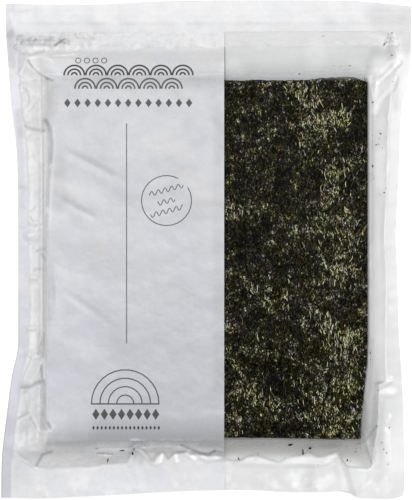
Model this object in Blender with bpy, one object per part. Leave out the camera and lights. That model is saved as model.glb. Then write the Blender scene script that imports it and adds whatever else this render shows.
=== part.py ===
"""A resealable film pouch that holds a stack of dried seaweed sheets. It lies on its back, window up.

Metres, +Z up, +Y towards the zip. The origin is under the middle of the pack, on the face it rests on.
"""

import math

import bmesh
import bpy
from mathutils import Vector, noise

MM = 0.001

# Driving sizes, from standard seaweed sheets of 190 x 210 mm piled a little out of line
SHEET_WIDTH = 190 * MM
SHEET_LENGTH = 210 * MM
PILE_SPREAD = 3 * MM
STACK_THICK = 15 * MM
POUCH_WIDTH = 245 * MM
POUCH_LENGTH = 298 * MM
FILM_SKIN = 0.5 * MM
GAP = 0.3 * MM

# Where the stack lies in the pouch
STACK_CENTRE_X = 2.4 * MM
STACK_CENTRE_Y = -5.6 * MM
STACK_LENGTH = SHEET_LENGTH + PILE_SPREAD
STACK_LEFT = STACK_CENTRE_X - SHEET_WIDTH / 2
STACK_RIGHT = STACK_CENTRE_X + SHEET_WIDTH / 2
STACK_BOTTOM = STACK_CENTRE_Y - STACK_LENGTH / 2
STACK_TOP = STACK_CENTRE_Y + STACK_LENGTH / 2
STACK_BASE_Z = FILM_SKIN + GAP
STACK_TOP_Z = STACK_BASE_Z + STACK_THICK
FRONT_Z = STACK_TOP_Z + GAP + FILM_SKIN
WINDOW_LEFT = 10 * MM
ABOVE_WINDOW = 10 * MM

# The stack's own unevenness: sheaves that bulge between shallow grooves, and a slanting lower corner
SHEAVES = 5
GROOVE = 0.5 * MM
SHEAF_SHIFT = 0.3 * MM
TOP_WAVE = 0.25 * MM
WAVE_LENGTH = 35 * MM
SLANT = 4.2 * MM
SLANT_FROM = STACK_BOTTOM + 60 * MM
LOWER_SHEETS_SLANT = 0.45
DROOP = 1.8 * MM
DROOP_LENGTH = 14 * MM
SHOULDER = GAP + SHEAF_SHIFT + 2 * FILM_SKIN

# The pouch's outline, which the full stack draws in at mid length.
# Pairs of a share of the way along an edge and its inset in millimetres from the overall size
LEFT_INSET = (
    (0, 0.1), (0.075, 1.3), (0.15, 4.1), (0.24, 6.9), (0.33, 10.6),
    (0.53, 11.4), (0.72, 9.2), (0.87, 5.8), (0.95, 3.5), (1, 3.4),
)
RIGHT_INSET = (
    (0, 4.5), (0.16, 4.1), (0.34, 7.6), (0.53, 9.1), (0.75, 6.4),
    (0.79, 7.1), (0.85, 4.4), (0.9, 1.4), (0.95, 0.4), (1, 0.6),
)
BOTTOM_INSET = (
    (0, 1.7), (0.11, 0.8), (0.26, 2.6), (0.41, 4.4), (0.59, 5.6), (0.68, 4.6),
    (0.82, 4.6), (0.865, 3.9), (0.885, 1.2), (0.95, 0.2), (1, 1.5),
)
TOP_INSET = (
    (0, 2.4), (0.11, 3.2), (0.3, 1.6), (0.45, 0.3), (0.57, 0.0), (0.77, 0.8), (0.93, 2.4), (1, 4.8),
)

# Seals and zip
SIDE_SEAL = 6 * MM
BOTTOM_SEAL = 16.4 * MM
ZIP_BAND = 19 * MM
ZIP_TRACK_INSET = 10.5 * MM
ZIP_TRACK_HALF = 2.4 * MM
ZIP_TRACK_RISE = 1.1 * MM
ZIP_LIP_INSET = 17 * MM
ZIP_LIP_HALF = 1.5 * MM
ZIP_LIP_RISE = 0.5 * MM
SEAL_THICK = 1.0 * MM

# Heights of the seams over the table, as pairs of a share along the edge and millimetres
SIDE_SEAM = ((0, 0.4), (0.08, 2.0), (0.25, 6.0), (0.5, 6.6), (0.75, 6.0), (0.93, 2.6), (1, 1.8))
BOTTOM_SEAM = (
    (0, 0.4), (0.16, 2.6), (0.32, 1.4), (0.46, 3.4), (0.6, 2.0), (0.7, 3.0),
    (0.8, 1.8), (0.9, 2.4), (1, 0.4),
)
TOP_SEAM = ((0, 1.8), (0.5, 2.4), (1, 1.8))

# Share of the film's rise at each share of the way from a seal to the stack's shoulder
LEFT_RISE = ((0, 0), (0.14, 0.32), (0.4, 0.53), (0.58, 0.44), (0.68, 0.4), (0.76, 0.5), (1, 1))
RIGHT_RISE = ((0, 0), (0.25, 0.22), (0.6, 0.36), (0.8, 0.6), (1, 1))
BOTTOM_RISE = ((0, 0), (0.25, 0.2), (0.55, 0.34), (0.8, 0.66), (1, 1))
HEADER_RISE = ((0, 0), (0.35, 0.16), (0.75, 0.66), (1, 1))
HIP_SOFTNESS = 1.2 * MM
BACK_CURVE = 1.25

# Main folds of the front film: from point to point, half its width and its height, in millimetres
FOLDS = (
    ("top right diagonal ridge", (114, 113), (101, 92), 6, 3.0),
    ("top right lower facet", (110, 98), (101, 78), 5, 2.4),
    ("top right valley", (98, 101), (107, 122), 4, -1.8),
    ("top left crease", (-107, 115), (-88, 100), 5, -2.6),
    ("top left ridge", (-110, 102), (-94, 118), 6, 2.6),
    ("left puff above", (-107, 94), (-103, 76), 7, 2.0),
    ("left crease above", (-110, 72), (-100, 70), 4, -2.2),
    ("left puff at mid length", (-104, 6), (-104, -12), 7, 1.6),
    ("left crease below", (-109, -83), (-98, -79), 4, -2.2),
    ("bottom left lobe", (-104, -116), (-94, -125), 9, 2.6),
    ("bottom left crease", (-115, -119), (-102, -130), 5, -1.6),
    ("bottom left shelf", (-65, -120), (-47, -121), 5, 1.6),
    ("bottom left pyramid", (-43, -119), (-30, -126), 6, 3.2),
    ("bottom long shelf", (-38, -118), (-12, -119), 4, 2.0),
    ("bottom crack", (-15, -118), (8, -121), 3, -1.6),
    ("bottom first bump", (25, -124), (40, -126), 6, 2.2),
    ("bottom second bump", (54, -124), (66, -124), 6, 2.4),
    ("bottom peak", (73, -126), (78.5, -122), 6, 3.0),
    ("bottom tuck, high side", (77, -122), (88, -147), 3, 1.4),
    ("bottom tuck, low side", (81, -121), (92, -146), 3, -0.9),
    ("bottom right pocket", (90, -116), (99, -129), 6, -1.8),
    ("right facet", (104, -82), (112, -83), 6, 2.4),
    ("right lower puff", (110, -104), (111, -122), 5, 1.8),
)
CRUMPLE = 0.35 * MM
CRUMPLE_SIZE = 11 * MM

# Colours and finishes
FILM_COLOUR = (0.63, 0.64, 0.67)
FILM_ROUGHNESS = 0.35
SEAWEED_COLOUR = (0.018, 0.022, 0.013)
SEAWEED_ROUGHNESS = 0.5

# How finely each stretch of the pouch and the stack is divided
LEFT_COLUMNS = 15
STACK_COLUMNS = 17
RIGHT_COLUMNS = 14
BOTTOM_ROWS = 16
STACK_ROWS = 21
HEADER_ROWS = 20
BLOCK_COLUMNS = 12
BLOCK_ROWS = 18


def clear_scene():
    for item in list(bpy.data.objects):
        bpy.data.objects.remove(item)


def smooth(low, high, value):
    """0 below low, 1 above high, and an S-curve between them."""
    share = min(1.0, max(0.0, (value - low) / (high - low)))
    return share * share * (3 - 2 * share)


def curve_through(points, share):
    """The height at a share of the way along a smooth curve through (share, height) points."""
    points = tuple(points)
    share = min(points[-1][0], max(points[0][0], share))
    index = next(k for k in range(1, len(points)) if share <= points[k][0])
    before = points[max(0, index - 2)]
    start, end = points[index - 1], points[index]
    after = points[min(len(points) - 1, index + 1)]
    run = end[0] - start[0]
    slope_in = run * (end[1] - before[1]) / (end[0] - before[0])
    slope_out = run * (after[1] - start[1]) / (after[0] - start[0])
    t = (share - start[0]) / run
    return (
        start[1] * (2 * t ** 3 - 3 * t ** 2 + 1)
        + slope_in * (t ** 3 - 2 * t ** 2 + t)
        + end[1] * (3 * t ** 2 - 2 * t ** 3)
        + slope_out * (t ** 3 - t ** 2)
    )


def left_edge(v):
    return -POUCH_WIDTH / 2 + curve_through(LEFT_INSET, v) * MM


def right_edge(v):
    return POUCH_WIDTH / 2 - curve_through(RIGHT_INSET, v) * MM


def top_edge(u):
    return POUCH_LENGTH / 2 - curve_through(TOP_INSET, u) * MM


def bottom_edge(u):
    return -POUCH_LENGTH / 2 + curve_through(BOTTOM_INSET, u) * MM


def slant_at(y, height):
    """How far the sheets' right edge draws in near its lower corner, more for the upper sheets."""
    share = LOWER_SHEETS_SLANT + (1 - LOWER_SHEETS_SLANT) * height
    down = max(0.0, SLANT_FROM - y) / (SLANT_FROM - STACK_BOTTOM)
    return SLANT * share * down ** 1.4


def droop_at(y):
    """How far the top of the stack bends down along its lower edge."""
    down = max(0.0, STACK_BOTTOM + DROOP_LENGTH - y) / DROOP_LENGTH
    return DROOP * min(1.0, down) ** 2


def soft_least(values):
    """The least of the values, with the corner between two of them rounded off."""
    least = min(values)
    total = sum(math.exp((least - value) / HIP_SOFTNESS) for value in values)
    return least - HIP_SOFTNESS * math.log(total)


def to_segment(x, y, start, end):
    """The distance from a point to a straight stretch."""
    point = Vector((x, y))
    start, end = Vector(start) * MM, Vector(end) * MM
    run = end - start
    share = min(1.0, max(0.0, (point - start).dot(run) / run.length_squared))
    return (point - start - run * share).length


def fold_height(x, y):
    total = 0.0
    for _, start, end, half_width, height in FOLDS:
        away = to_segment(x, y, start, end) / (half_width * MM)
        total += height * MM * (1 - smooth(0, 1, away))
    return total


def zip_relief(inset):
    """The zip's track and lip, as ribs at their insets from the top edge."""
    track = 1 - smooth(0, ZIP_TRACK_HALF, abs(inset - ZIP_TRACK_INSET))
    lip = 1 - smooth(0, ZIP_LIP_HALF, abs(inset - ZIP_LIP_INSET))
    return ZIP_TRACK_RISE * track + ZIP_LIP_RISE * lip


class Spot:
    """One place on the pouch. inside runs from 0 at a seal to 1 at the stack's shoulder, and outside
    from 0 at the stack's edge to 1 at a seal."""

    def __init__(self, u, v, x, y):
        self.u, self.v, self.x, self.y = u, v, x, y
        self.left = x - left_edge(v)
        self.right = right_edge(v) - x
        self.bottom = y - bottom_edge(u)
        self.top = top_edge(u) - y
        low_x = STACK_LEFT - SHOULDER - left_edge(v) - SIDE_SEAL
        high_x = right_edge(v) - SIDE_SEAL - STACK_RIGHT - SHOULDER + slant_at(y, 1)
        low_y = STACK_BOTTOM - SHOULDER - bottom_edge(u) - BOTTOM_SEAL
        high_y = top_edge(u) - ZIP_BAND - STACK_TOP - SHOULDER
        self.shares = (
            (self.left - SIDE_SEAL) / low_x,
            (self.right - SIDE_SEAL) / high_x,
            (self.bottom - BOTTOM_SEAL) / low_y,
            (self.top - ZIP_BAND) / high_y,
        )
        self.inside = min(1.0, max(0.0, min(self.shares)))
        beyond = (
            (STACK_LEFT - x) / (STACK_LEFT - left_edge(v) - SIDE_SEAL),
            (x - STACK_RIGHT) / (right_edge(v) - STACK_RIGHT - SIDE_SEAL),
            (STACK_BOTTOM - y) / (STACK_BOTTOM - bottom_edge(u) - BOTTOM_SEAL),
            (y - STACK_TOP) / (top_edge(u) - STACK_TOP - ZIP_BAND),
        )
        self.outside = min(1.0, max(0.0, max(beyond)))

    def seam(self):
        """The height of the nearest seam, blended near the corners."""
        weight = smooth(-12 * MM, 12 * MM, min(self.left, self.right) - min(self.bottom, self.top))
        side = curve_through(SIDE_SEAM, self.v)
        end = curve_through(BOTTOM_SEAM if self.bottom < self.top else TOP_SEAM, self.u)
        return (side * (1 - weight) + end * weight) * MM

    def front(self):
        seam = self.seam() + SEAL_THICK
        crest = FRONT_Z - droop_at(self.y)
        rises = (LEFT_RISE, RIGHT_RISE, BOTTOM_RISE, HEADER_RISE)
        heights = [
            seam + (crest - seam) * curve_through(rise, share)
            for rise, share in zip(rises, self.shares)
        ]
        on_stack = smooth(0.8, 1.0, self.inside)
        hip = max(seam, soft_least(heights))
        base = hip + (min(heights) - hip) * on_stack
        crumple = CRUMPLE * noise.noise(Vector((self.x, self.y, 0)) / CRUMPLE_SIZE)
        shaped = base + (fold_height(self.x, self.y) + crumple) * (1 - on_stack)
        return max(shaped, self.back() + SEAL_THICK) + zip_relief(self.top)

    def back(self):
        """Flat under the stack, and then rising to the seam."""
        return self.seam() * self.outside ** BACK_CURVE


def pouch_spots():
    """The pouch's spots, column by column. Columns and rows follow the stack's edges."""
    columns = LEFT_COLUMNS + STACK_COLUMNS + RIGHT_COLUMNS
    rows = BOTTOM_ROWS + STACK_ROWS + HEADER_ROWS
    spots = []
    for i in range(columns + 1):
        column = []
        for j in range(rows + 1):
            u, v = i / columns, j / rows
            for _ in range(4):
                x = column_x(i, v)
                y = row_y(j, u)
                u = (x - left_edge(v)) / (right_edge(v) - left_edge(v))
                v = (y - bottom_edge(u)) / (top_edge(u) - bottom_edge(u))
            column.append(Spot(u, v, x, y))
        spots.append(column)
    return spots


def column_x(i, v):
    if i <= LEFT_COLUMNS:
        return left_edge(v) + (STACK_LEFT - left_edge(v)) * i / LEFT_COLUMNS
    if i <= LEFT_COLUMNS + STACK_COLUMNS:
        return STACK_LEFT + SHEET_WIDTH * (i - LEFT_COLUMNS) / STACK_COLUMNS
    share = (i - LEFT_COLUMNS - STACK_COLUMNS) / RIGHT_COLUMNS
    return STACK_RIGHT + (right_edge(v) - STACK_RIGHT) * share


def row_y(j, u):
    if j <= BOTTOM_ROWS:
        return bottom_edge(u) + (STACK_BOTTOM - bottom_edge(u)) * j / BOTTOM_ROWS
    if j <= BOTTOM_ROWS + STACK_ROWS:
        return STACK_BOTTOM + STACK_LENGTH * (j - BOTTOM_ROWS) / STACK_ROWS
    share = (j - BOTTOM_ROWS - STACK_ROWS) / HEADER_ROWS
    return STACK_TOP + (top_edge(u) - STACK_TOP) * share


def grid_rim(columns, rows):
    """The grid places round the edge of a grid, in order."""
    return (
        [(i, 0) for i in range(columns)]
        + [(columns - 1, j) for j in range(1, rows)]
        + [(i, rows - 1) for i in range(columns - 2, -1, -1)]
        + [(0, j) for j in range(rows - 2, 0, -1)]
    )


def closed_stack(name, grids):
    """A closed mesh from equal grids of points, one over another. Only the end grids are filled."""
    columns, rows = len(grids[0]), len(grids[0][0])
    rim = grid_rim(columns, rows)
    mesh = bmesh.new()
    loops = [[mesh.verts.new(grid[i][j]) for i, j in rim] for grid in grids]
    for low, high in zip(loops, loops[1:]):
        for k in range(len(rim)):
            after = (k + 1) % len(rim)
            mesh.faces.new((low[k], low[after], high[after], high[k]))
    for grid, loop in ((grids[0], loops[0]), (grids[-1], loops[-1])):
        verts = dict(zip(rim, loop))
        for i in range(1, columns - 1):
            for j in range(1, rows - 1):
                verts[i, j] = mesh.verts.new(grid[i][j])
        for i in range(columns - 1):
            for j in range(rows - 1):
                corners = (verts[i, j], verts[i + 1, j], verts[i + 1, j + 1], verts[i, j + 1])
                mesh.faces.new(corners)
    bmesh.ops.triangulate(mesh, faces=mesh.faces)
    bmesh.ops.recalc_face_normals(mesh, faces=mesh.faces)
    data = bpy.data.meshes.new(name)
    mesh.to_mesh(data)
    mesh.free()
    item = bpy.data.objects.new(name, data)
    bpy.context.scene.collection.objects.link(item)
    return item


def sheet_grid(left, z, height, grow, shift, wave=0.0):
    """A grid of points over the stack's outline at one height, from left to its right edge."""
    y_low, y_high = STACK_BOTTOM - grow, STACK_TOP + grow
    grid = []
    for i in range(BLOCK_COLUMNS + 1):
        column = []
        for j in range(BLOCK_ROWS + 1):
            y = y_low + (y_high - y_low) * j / BLOCK_ROWS
            right = STACK_RIGHT - slant_at(y, height) + grow
            x = left - grow + (right - left + grow) * i / BLOCK_COLUMNS
            dip = wave * (0.5 + 0.5 * noise.noise(Vector((x, y, 0)) / WAVE_LENGTH))
            dip += droop_at(y) * height
            column.append((x + shift, y + shift, z - dip))
        grid.append(column)
    return grid


def coat(item, name, colour, roughness):
    material = bpy.data.materials.new(name)
    material.use_nodes = True
    shader = material.node_tree.nodes["Principled BSDF"]
    shader.inputs["Base Color"].default_value = (*colour, 1)
    shader.inputs["Roughness"].default_value = roughness
    shader.inputs["Metallic"].default_value = 0
    item.data.materials.append(material)


def make_stack():
    levels = 2 * SHEAVES
    grids = []
    for level in range(levels + 1):
        height = level / levels
        inset = GROOVE if level % 2 == 0 else 0.0
        shift = SHEAF_SHIFT * math.sin(2.4 * level)
        wave = TOP_WAVE if level == levels else 0.0
        z = STACK_BASE_Z + STACK_THICK * height
        grids.append(sheet_grid(STACK_LEFT, z, height, -inset, shift, wave))
    return closed_stack("seaweed_stack", grids)


def cut(item, name, left, levels, grow):
    """Cuts a block with the stack's outline out of an item. levels are its ends, as (z, height)."""
    cutter = closed_stack(name, [sheet_grid(left, z, height, grow, 0.0) for z, height in levels])
    cutter.hide_render = True
    cutter.display_type = "WIRE"
    boolean = item.modifiers.new(name, "BOOLEAN")
    boolean.operation = "DIFFERENCE"
    boolean.solver = "EXACT"
    boolean.object = cutter


def make_pouch():
    spots = pouch_spots()
    upper = [[(s.x, s.y, s.front()) for s in column] for column in spots]
    lower = [[(s.x, s.y, s.back()) for s in column] for column in spots]
    return closed_stack("pouch", [lower, upper])


def main():
    clear_scene()
    pouch = make_pouch()
    room = GAP + SHEAF_SHIFT
    cut(pouch, "cut_cavity", STACK_LEFT, ((STACK_BASE_Z - GAP, 0), (STACK_TOP_Z + GAP, 1)), room)
    above = FRONT_Z + ABOVE_WINDOW
    cut(pouch, "cut_window", WINDOW_LEFT, ((STACK_TOP_Z, 1), (above, 1)), room + FILM_SKIN / 2)
    coat(pouch, "pouch_film", FILM_COLOUR, FILM_ROUGHNESS)
    coat(make_stack(), "seaweed", SEAWEED_COLOUR, SEAWEED_ROUGHNESS)


main()
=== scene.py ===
"""Looks of a resealable pouch of dried seaweed: its films, print, sheets, crumbs, table and light."""

import math
import random

import bpy
import numpy as np
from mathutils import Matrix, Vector, noise
from mathutils.bvhtree import BVHTree


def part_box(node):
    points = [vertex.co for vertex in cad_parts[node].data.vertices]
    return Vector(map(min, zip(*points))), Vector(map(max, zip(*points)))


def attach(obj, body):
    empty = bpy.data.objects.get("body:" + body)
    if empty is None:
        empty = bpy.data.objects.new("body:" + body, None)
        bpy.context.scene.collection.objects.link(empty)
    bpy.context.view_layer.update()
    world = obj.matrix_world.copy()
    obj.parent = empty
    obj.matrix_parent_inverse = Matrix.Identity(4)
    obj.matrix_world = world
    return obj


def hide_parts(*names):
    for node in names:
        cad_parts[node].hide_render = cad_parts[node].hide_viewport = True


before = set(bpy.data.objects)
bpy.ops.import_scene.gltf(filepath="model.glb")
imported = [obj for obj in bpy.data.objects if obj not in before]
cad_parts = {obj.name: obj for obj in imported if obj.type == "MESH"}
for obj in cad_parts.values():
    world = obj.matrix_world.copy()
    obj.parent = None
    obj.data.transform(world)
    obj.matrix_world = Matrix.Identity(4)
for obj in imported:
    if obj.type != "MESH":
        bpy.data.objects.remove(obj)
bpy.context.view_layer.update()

MM = 0.001

# The photograph's frame: its size, the pouch's middle in it, and the real length of a pixel
PHOTO_HEIGHT = 500
PHOTO_CENTRE = (206, 249.5)
PIXEL = 0.597 * MM
CAMERA_HEIGHT = 2.5
CAMERA_SENSOR = 36
SHARP_HEIGHT = 5 * MM

# Sizes that the solids share
SHEET_WIDTH = 190 * MM
STACK_LOW, STACK_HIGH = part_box("seaweed_stack")
POUCH_WIDTH = 245 * MM
POUCH_LENGTH = 298 * MM
STACK_CENTRE_X = 2.4 * MM
STACK_CENTRE_Y = -5.6 * MM
STACK_LENGTH = 213 * MM
STACK_LEFT = STACK_CENTRE_X - SHEET_WIDTH / 2
STACK_RIGHT = STACK_CENTRE_X + SHEET_WIDTH / 2
STACK_BOTTOM = STACK_CENTRE_Y - STACK_LENGTH / 2
STACK_TOP = STACK_CENTRE_Y + STACK_LENGTH / 2
STACK_BASE_Z = STACK_LOW.z
STACK_TOP_Z = STACK_HIGH.z
FRONT_Z = STACK_TOP_Z + 0.8 * MM
WINDOW_LEFT = 10.8 * MM
WINDOW_TOP = 129.8 * MM
SLANT = 4.2 * MM
SLANT_FROM = STACK_BOTTOM + 60 * MM
LOWER_SHEETS_SLANT = 0.9
DROOP = 1.8 * MM
DROOP_LENGTH = 14 * MM
SHOULDER = 1.6 * MM

# The pouch's outline, as pairs of a share along an edge and its inset in millimetres
LEFT_INSET = (
    (0, 0), (0.075, 0.4), (0.115, 1.5), (0.164, 3.4), (0.25, 6.8), (0.3, 10.2), (0.34, 10.5),
    (0.55, 10.4), (0.66, 10.1), (0.725, 9.0), (0.78, 6.8), (0.85, 5.0), (0.95, 2.9), (1, 2.7),
)
RIGHT_INSET = (
    (0, 4.8), (0.02, 3.8), (0.07, 4.1), (0.16, 4.6), (0.25, 5.8), (0.34, 7.5), (0.46, 8.4), (0.53, 9.4),
    (0.6, 8.4), (0.7, 7.1), (0.77, 6.4), (0.8, 5.4), (0.84, 3), (0.89, 0.5), (0.94, 0), (1, 0),
)
BOTTOM_INSET = (
    (0, 0.6), (0.1, 0.4), (0.2, 1.6), (0.31, 2.8), (0.41, 4.5), (0.46, 5.1), (0.59, 5.6), (0.66, 5.2),
    (0.7, 4.5), (0.82, 4.4), (0.845, 5.0), (0.865, 3.9), (0.885, 1.2), (0.95, 0.2), (0.975, 0.3), (1, 1.8),
)
TOP_INSET = (
    (0, 1.9), (0.08, 2.4), (0.13, 2.7), (0.25, 2.3), (0.3, 1.6), (0.4, 0.4), (0.5, 0.0), (0.77, 0.0),
    (0.87, 0.5), (0.93, 1.8), (1, 3.6),
)

# The zip's raised band and its fine ribs, as pixel rows, and the ribs' pitch
ZIP_BAND_ROWS = (21.5, 14.5)
ZIP_RIB_ROWS = (31.5, 7.5)
RIB_PITCH = 1.45 * MM

# Seals, and the heights of the seams over the table in millimetres
SIDE_SEAL = 6 * MM
BOTTOM_SEAL = 16.4 * MM
ZIP_BAND = 19 * MM
SEAM_FILM = 0.35 * MM
BACK_UNDER_SEAM = 0.4 * MM
SIDE_SEAM = ((0, 0.4), (0.08, 2.0), (0.25, 6.0), (0.5, 6.6), (0.75, 6.0), (0.93, 2.6), (1, 1.8))
BOTTOM_SEAM = (
    (0, 0.4), (0.16, 2.6), (0.32, 1.4), (0.46, 3.4), (0.6, 2.0), (0.7, 3.0),
    (0.8, 1.8), (0.9, 2.4), (1, 0.4),
)
TOP_SEAM = ((0, 1.8), (0.5, 2.4), (1, 1.8))

# How the front film rises from each seal to the stack, as pairs of shares
LEFT_RISE = (
    (0, 0), (0.25, 0.14), (0.5, 0.26), (0.68, 0.33), (0.76, 0.41), (0.86, 0.66), (0.93, 0.88), (0.97, 0.97),
    (1, 1),
)
RIGHT_RISE = ((0, 0), (0.08, 0.03), (0.22, 0.15), (0.5, 0.5), (0.8, 0.87), (0.92, 0.97), (1, 1))
BOTTOM_RISE = ((0, 0), (0.25, 0.2), (0.55, 0.36), (0.8, 0.74), (0.9, 0.91), (0.96, 0.98), (1, 1))
HEADER_RISE = ((0, 0), (0.35, 0.16), (0.75, 0.67), (0.9, 0.92), (0.96, 0.985), (1, 1))
HIP_SOFTNESS = 1.2 * MM
BACK_CURVE = 1.25
# Up the left side the film is less crumpled, from between these rows upwards
LESS_CRUMPLED = (440, 425)

# Where the front film meets the back film, in pixels, along the bottom and up the right side
FUSED_BOTTOM = (
    (8, 446), (14, 449), (21, 460), (32, 467), (48, 469.5), (72, 468), (90, 468), (102, 465), (118, 464),
    (128, 463.5), (131, 455), (134.4, 447), (143, 451), (153, 463.5), (157, 457), (163, 453.5), (168, 460.5),
    (174, 455), (184, 453), (190, 456), (196, 454.5), (208, 457), (216, 456), (224, 459), (234, 461.5),
    (241, 461), (247, 457.4), (256, 456), (266, 459), (279, 463.2), (287, 458.6), (296, 456.6), (303, 456),
    (308.5, 453.8), (313, 456), (318, 457.6), (325, 457), (336, 453.6), (339, 457), (347, 467.6), (358, 469),
    (370, 470), (420, 470),
)
FUSED_RIGHT = (
    (0, 398), (60, 397), (90, 393), (130, 389.5), (200, 388), (300, 387), (360, 386.5), (381, 388),
    (384, 380.5), (396, 379.6), (416, 379.2), (433, 377.8), (447, 375.2), (464, 373.6), (471, 370),
    (500, 370),
)

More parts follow.
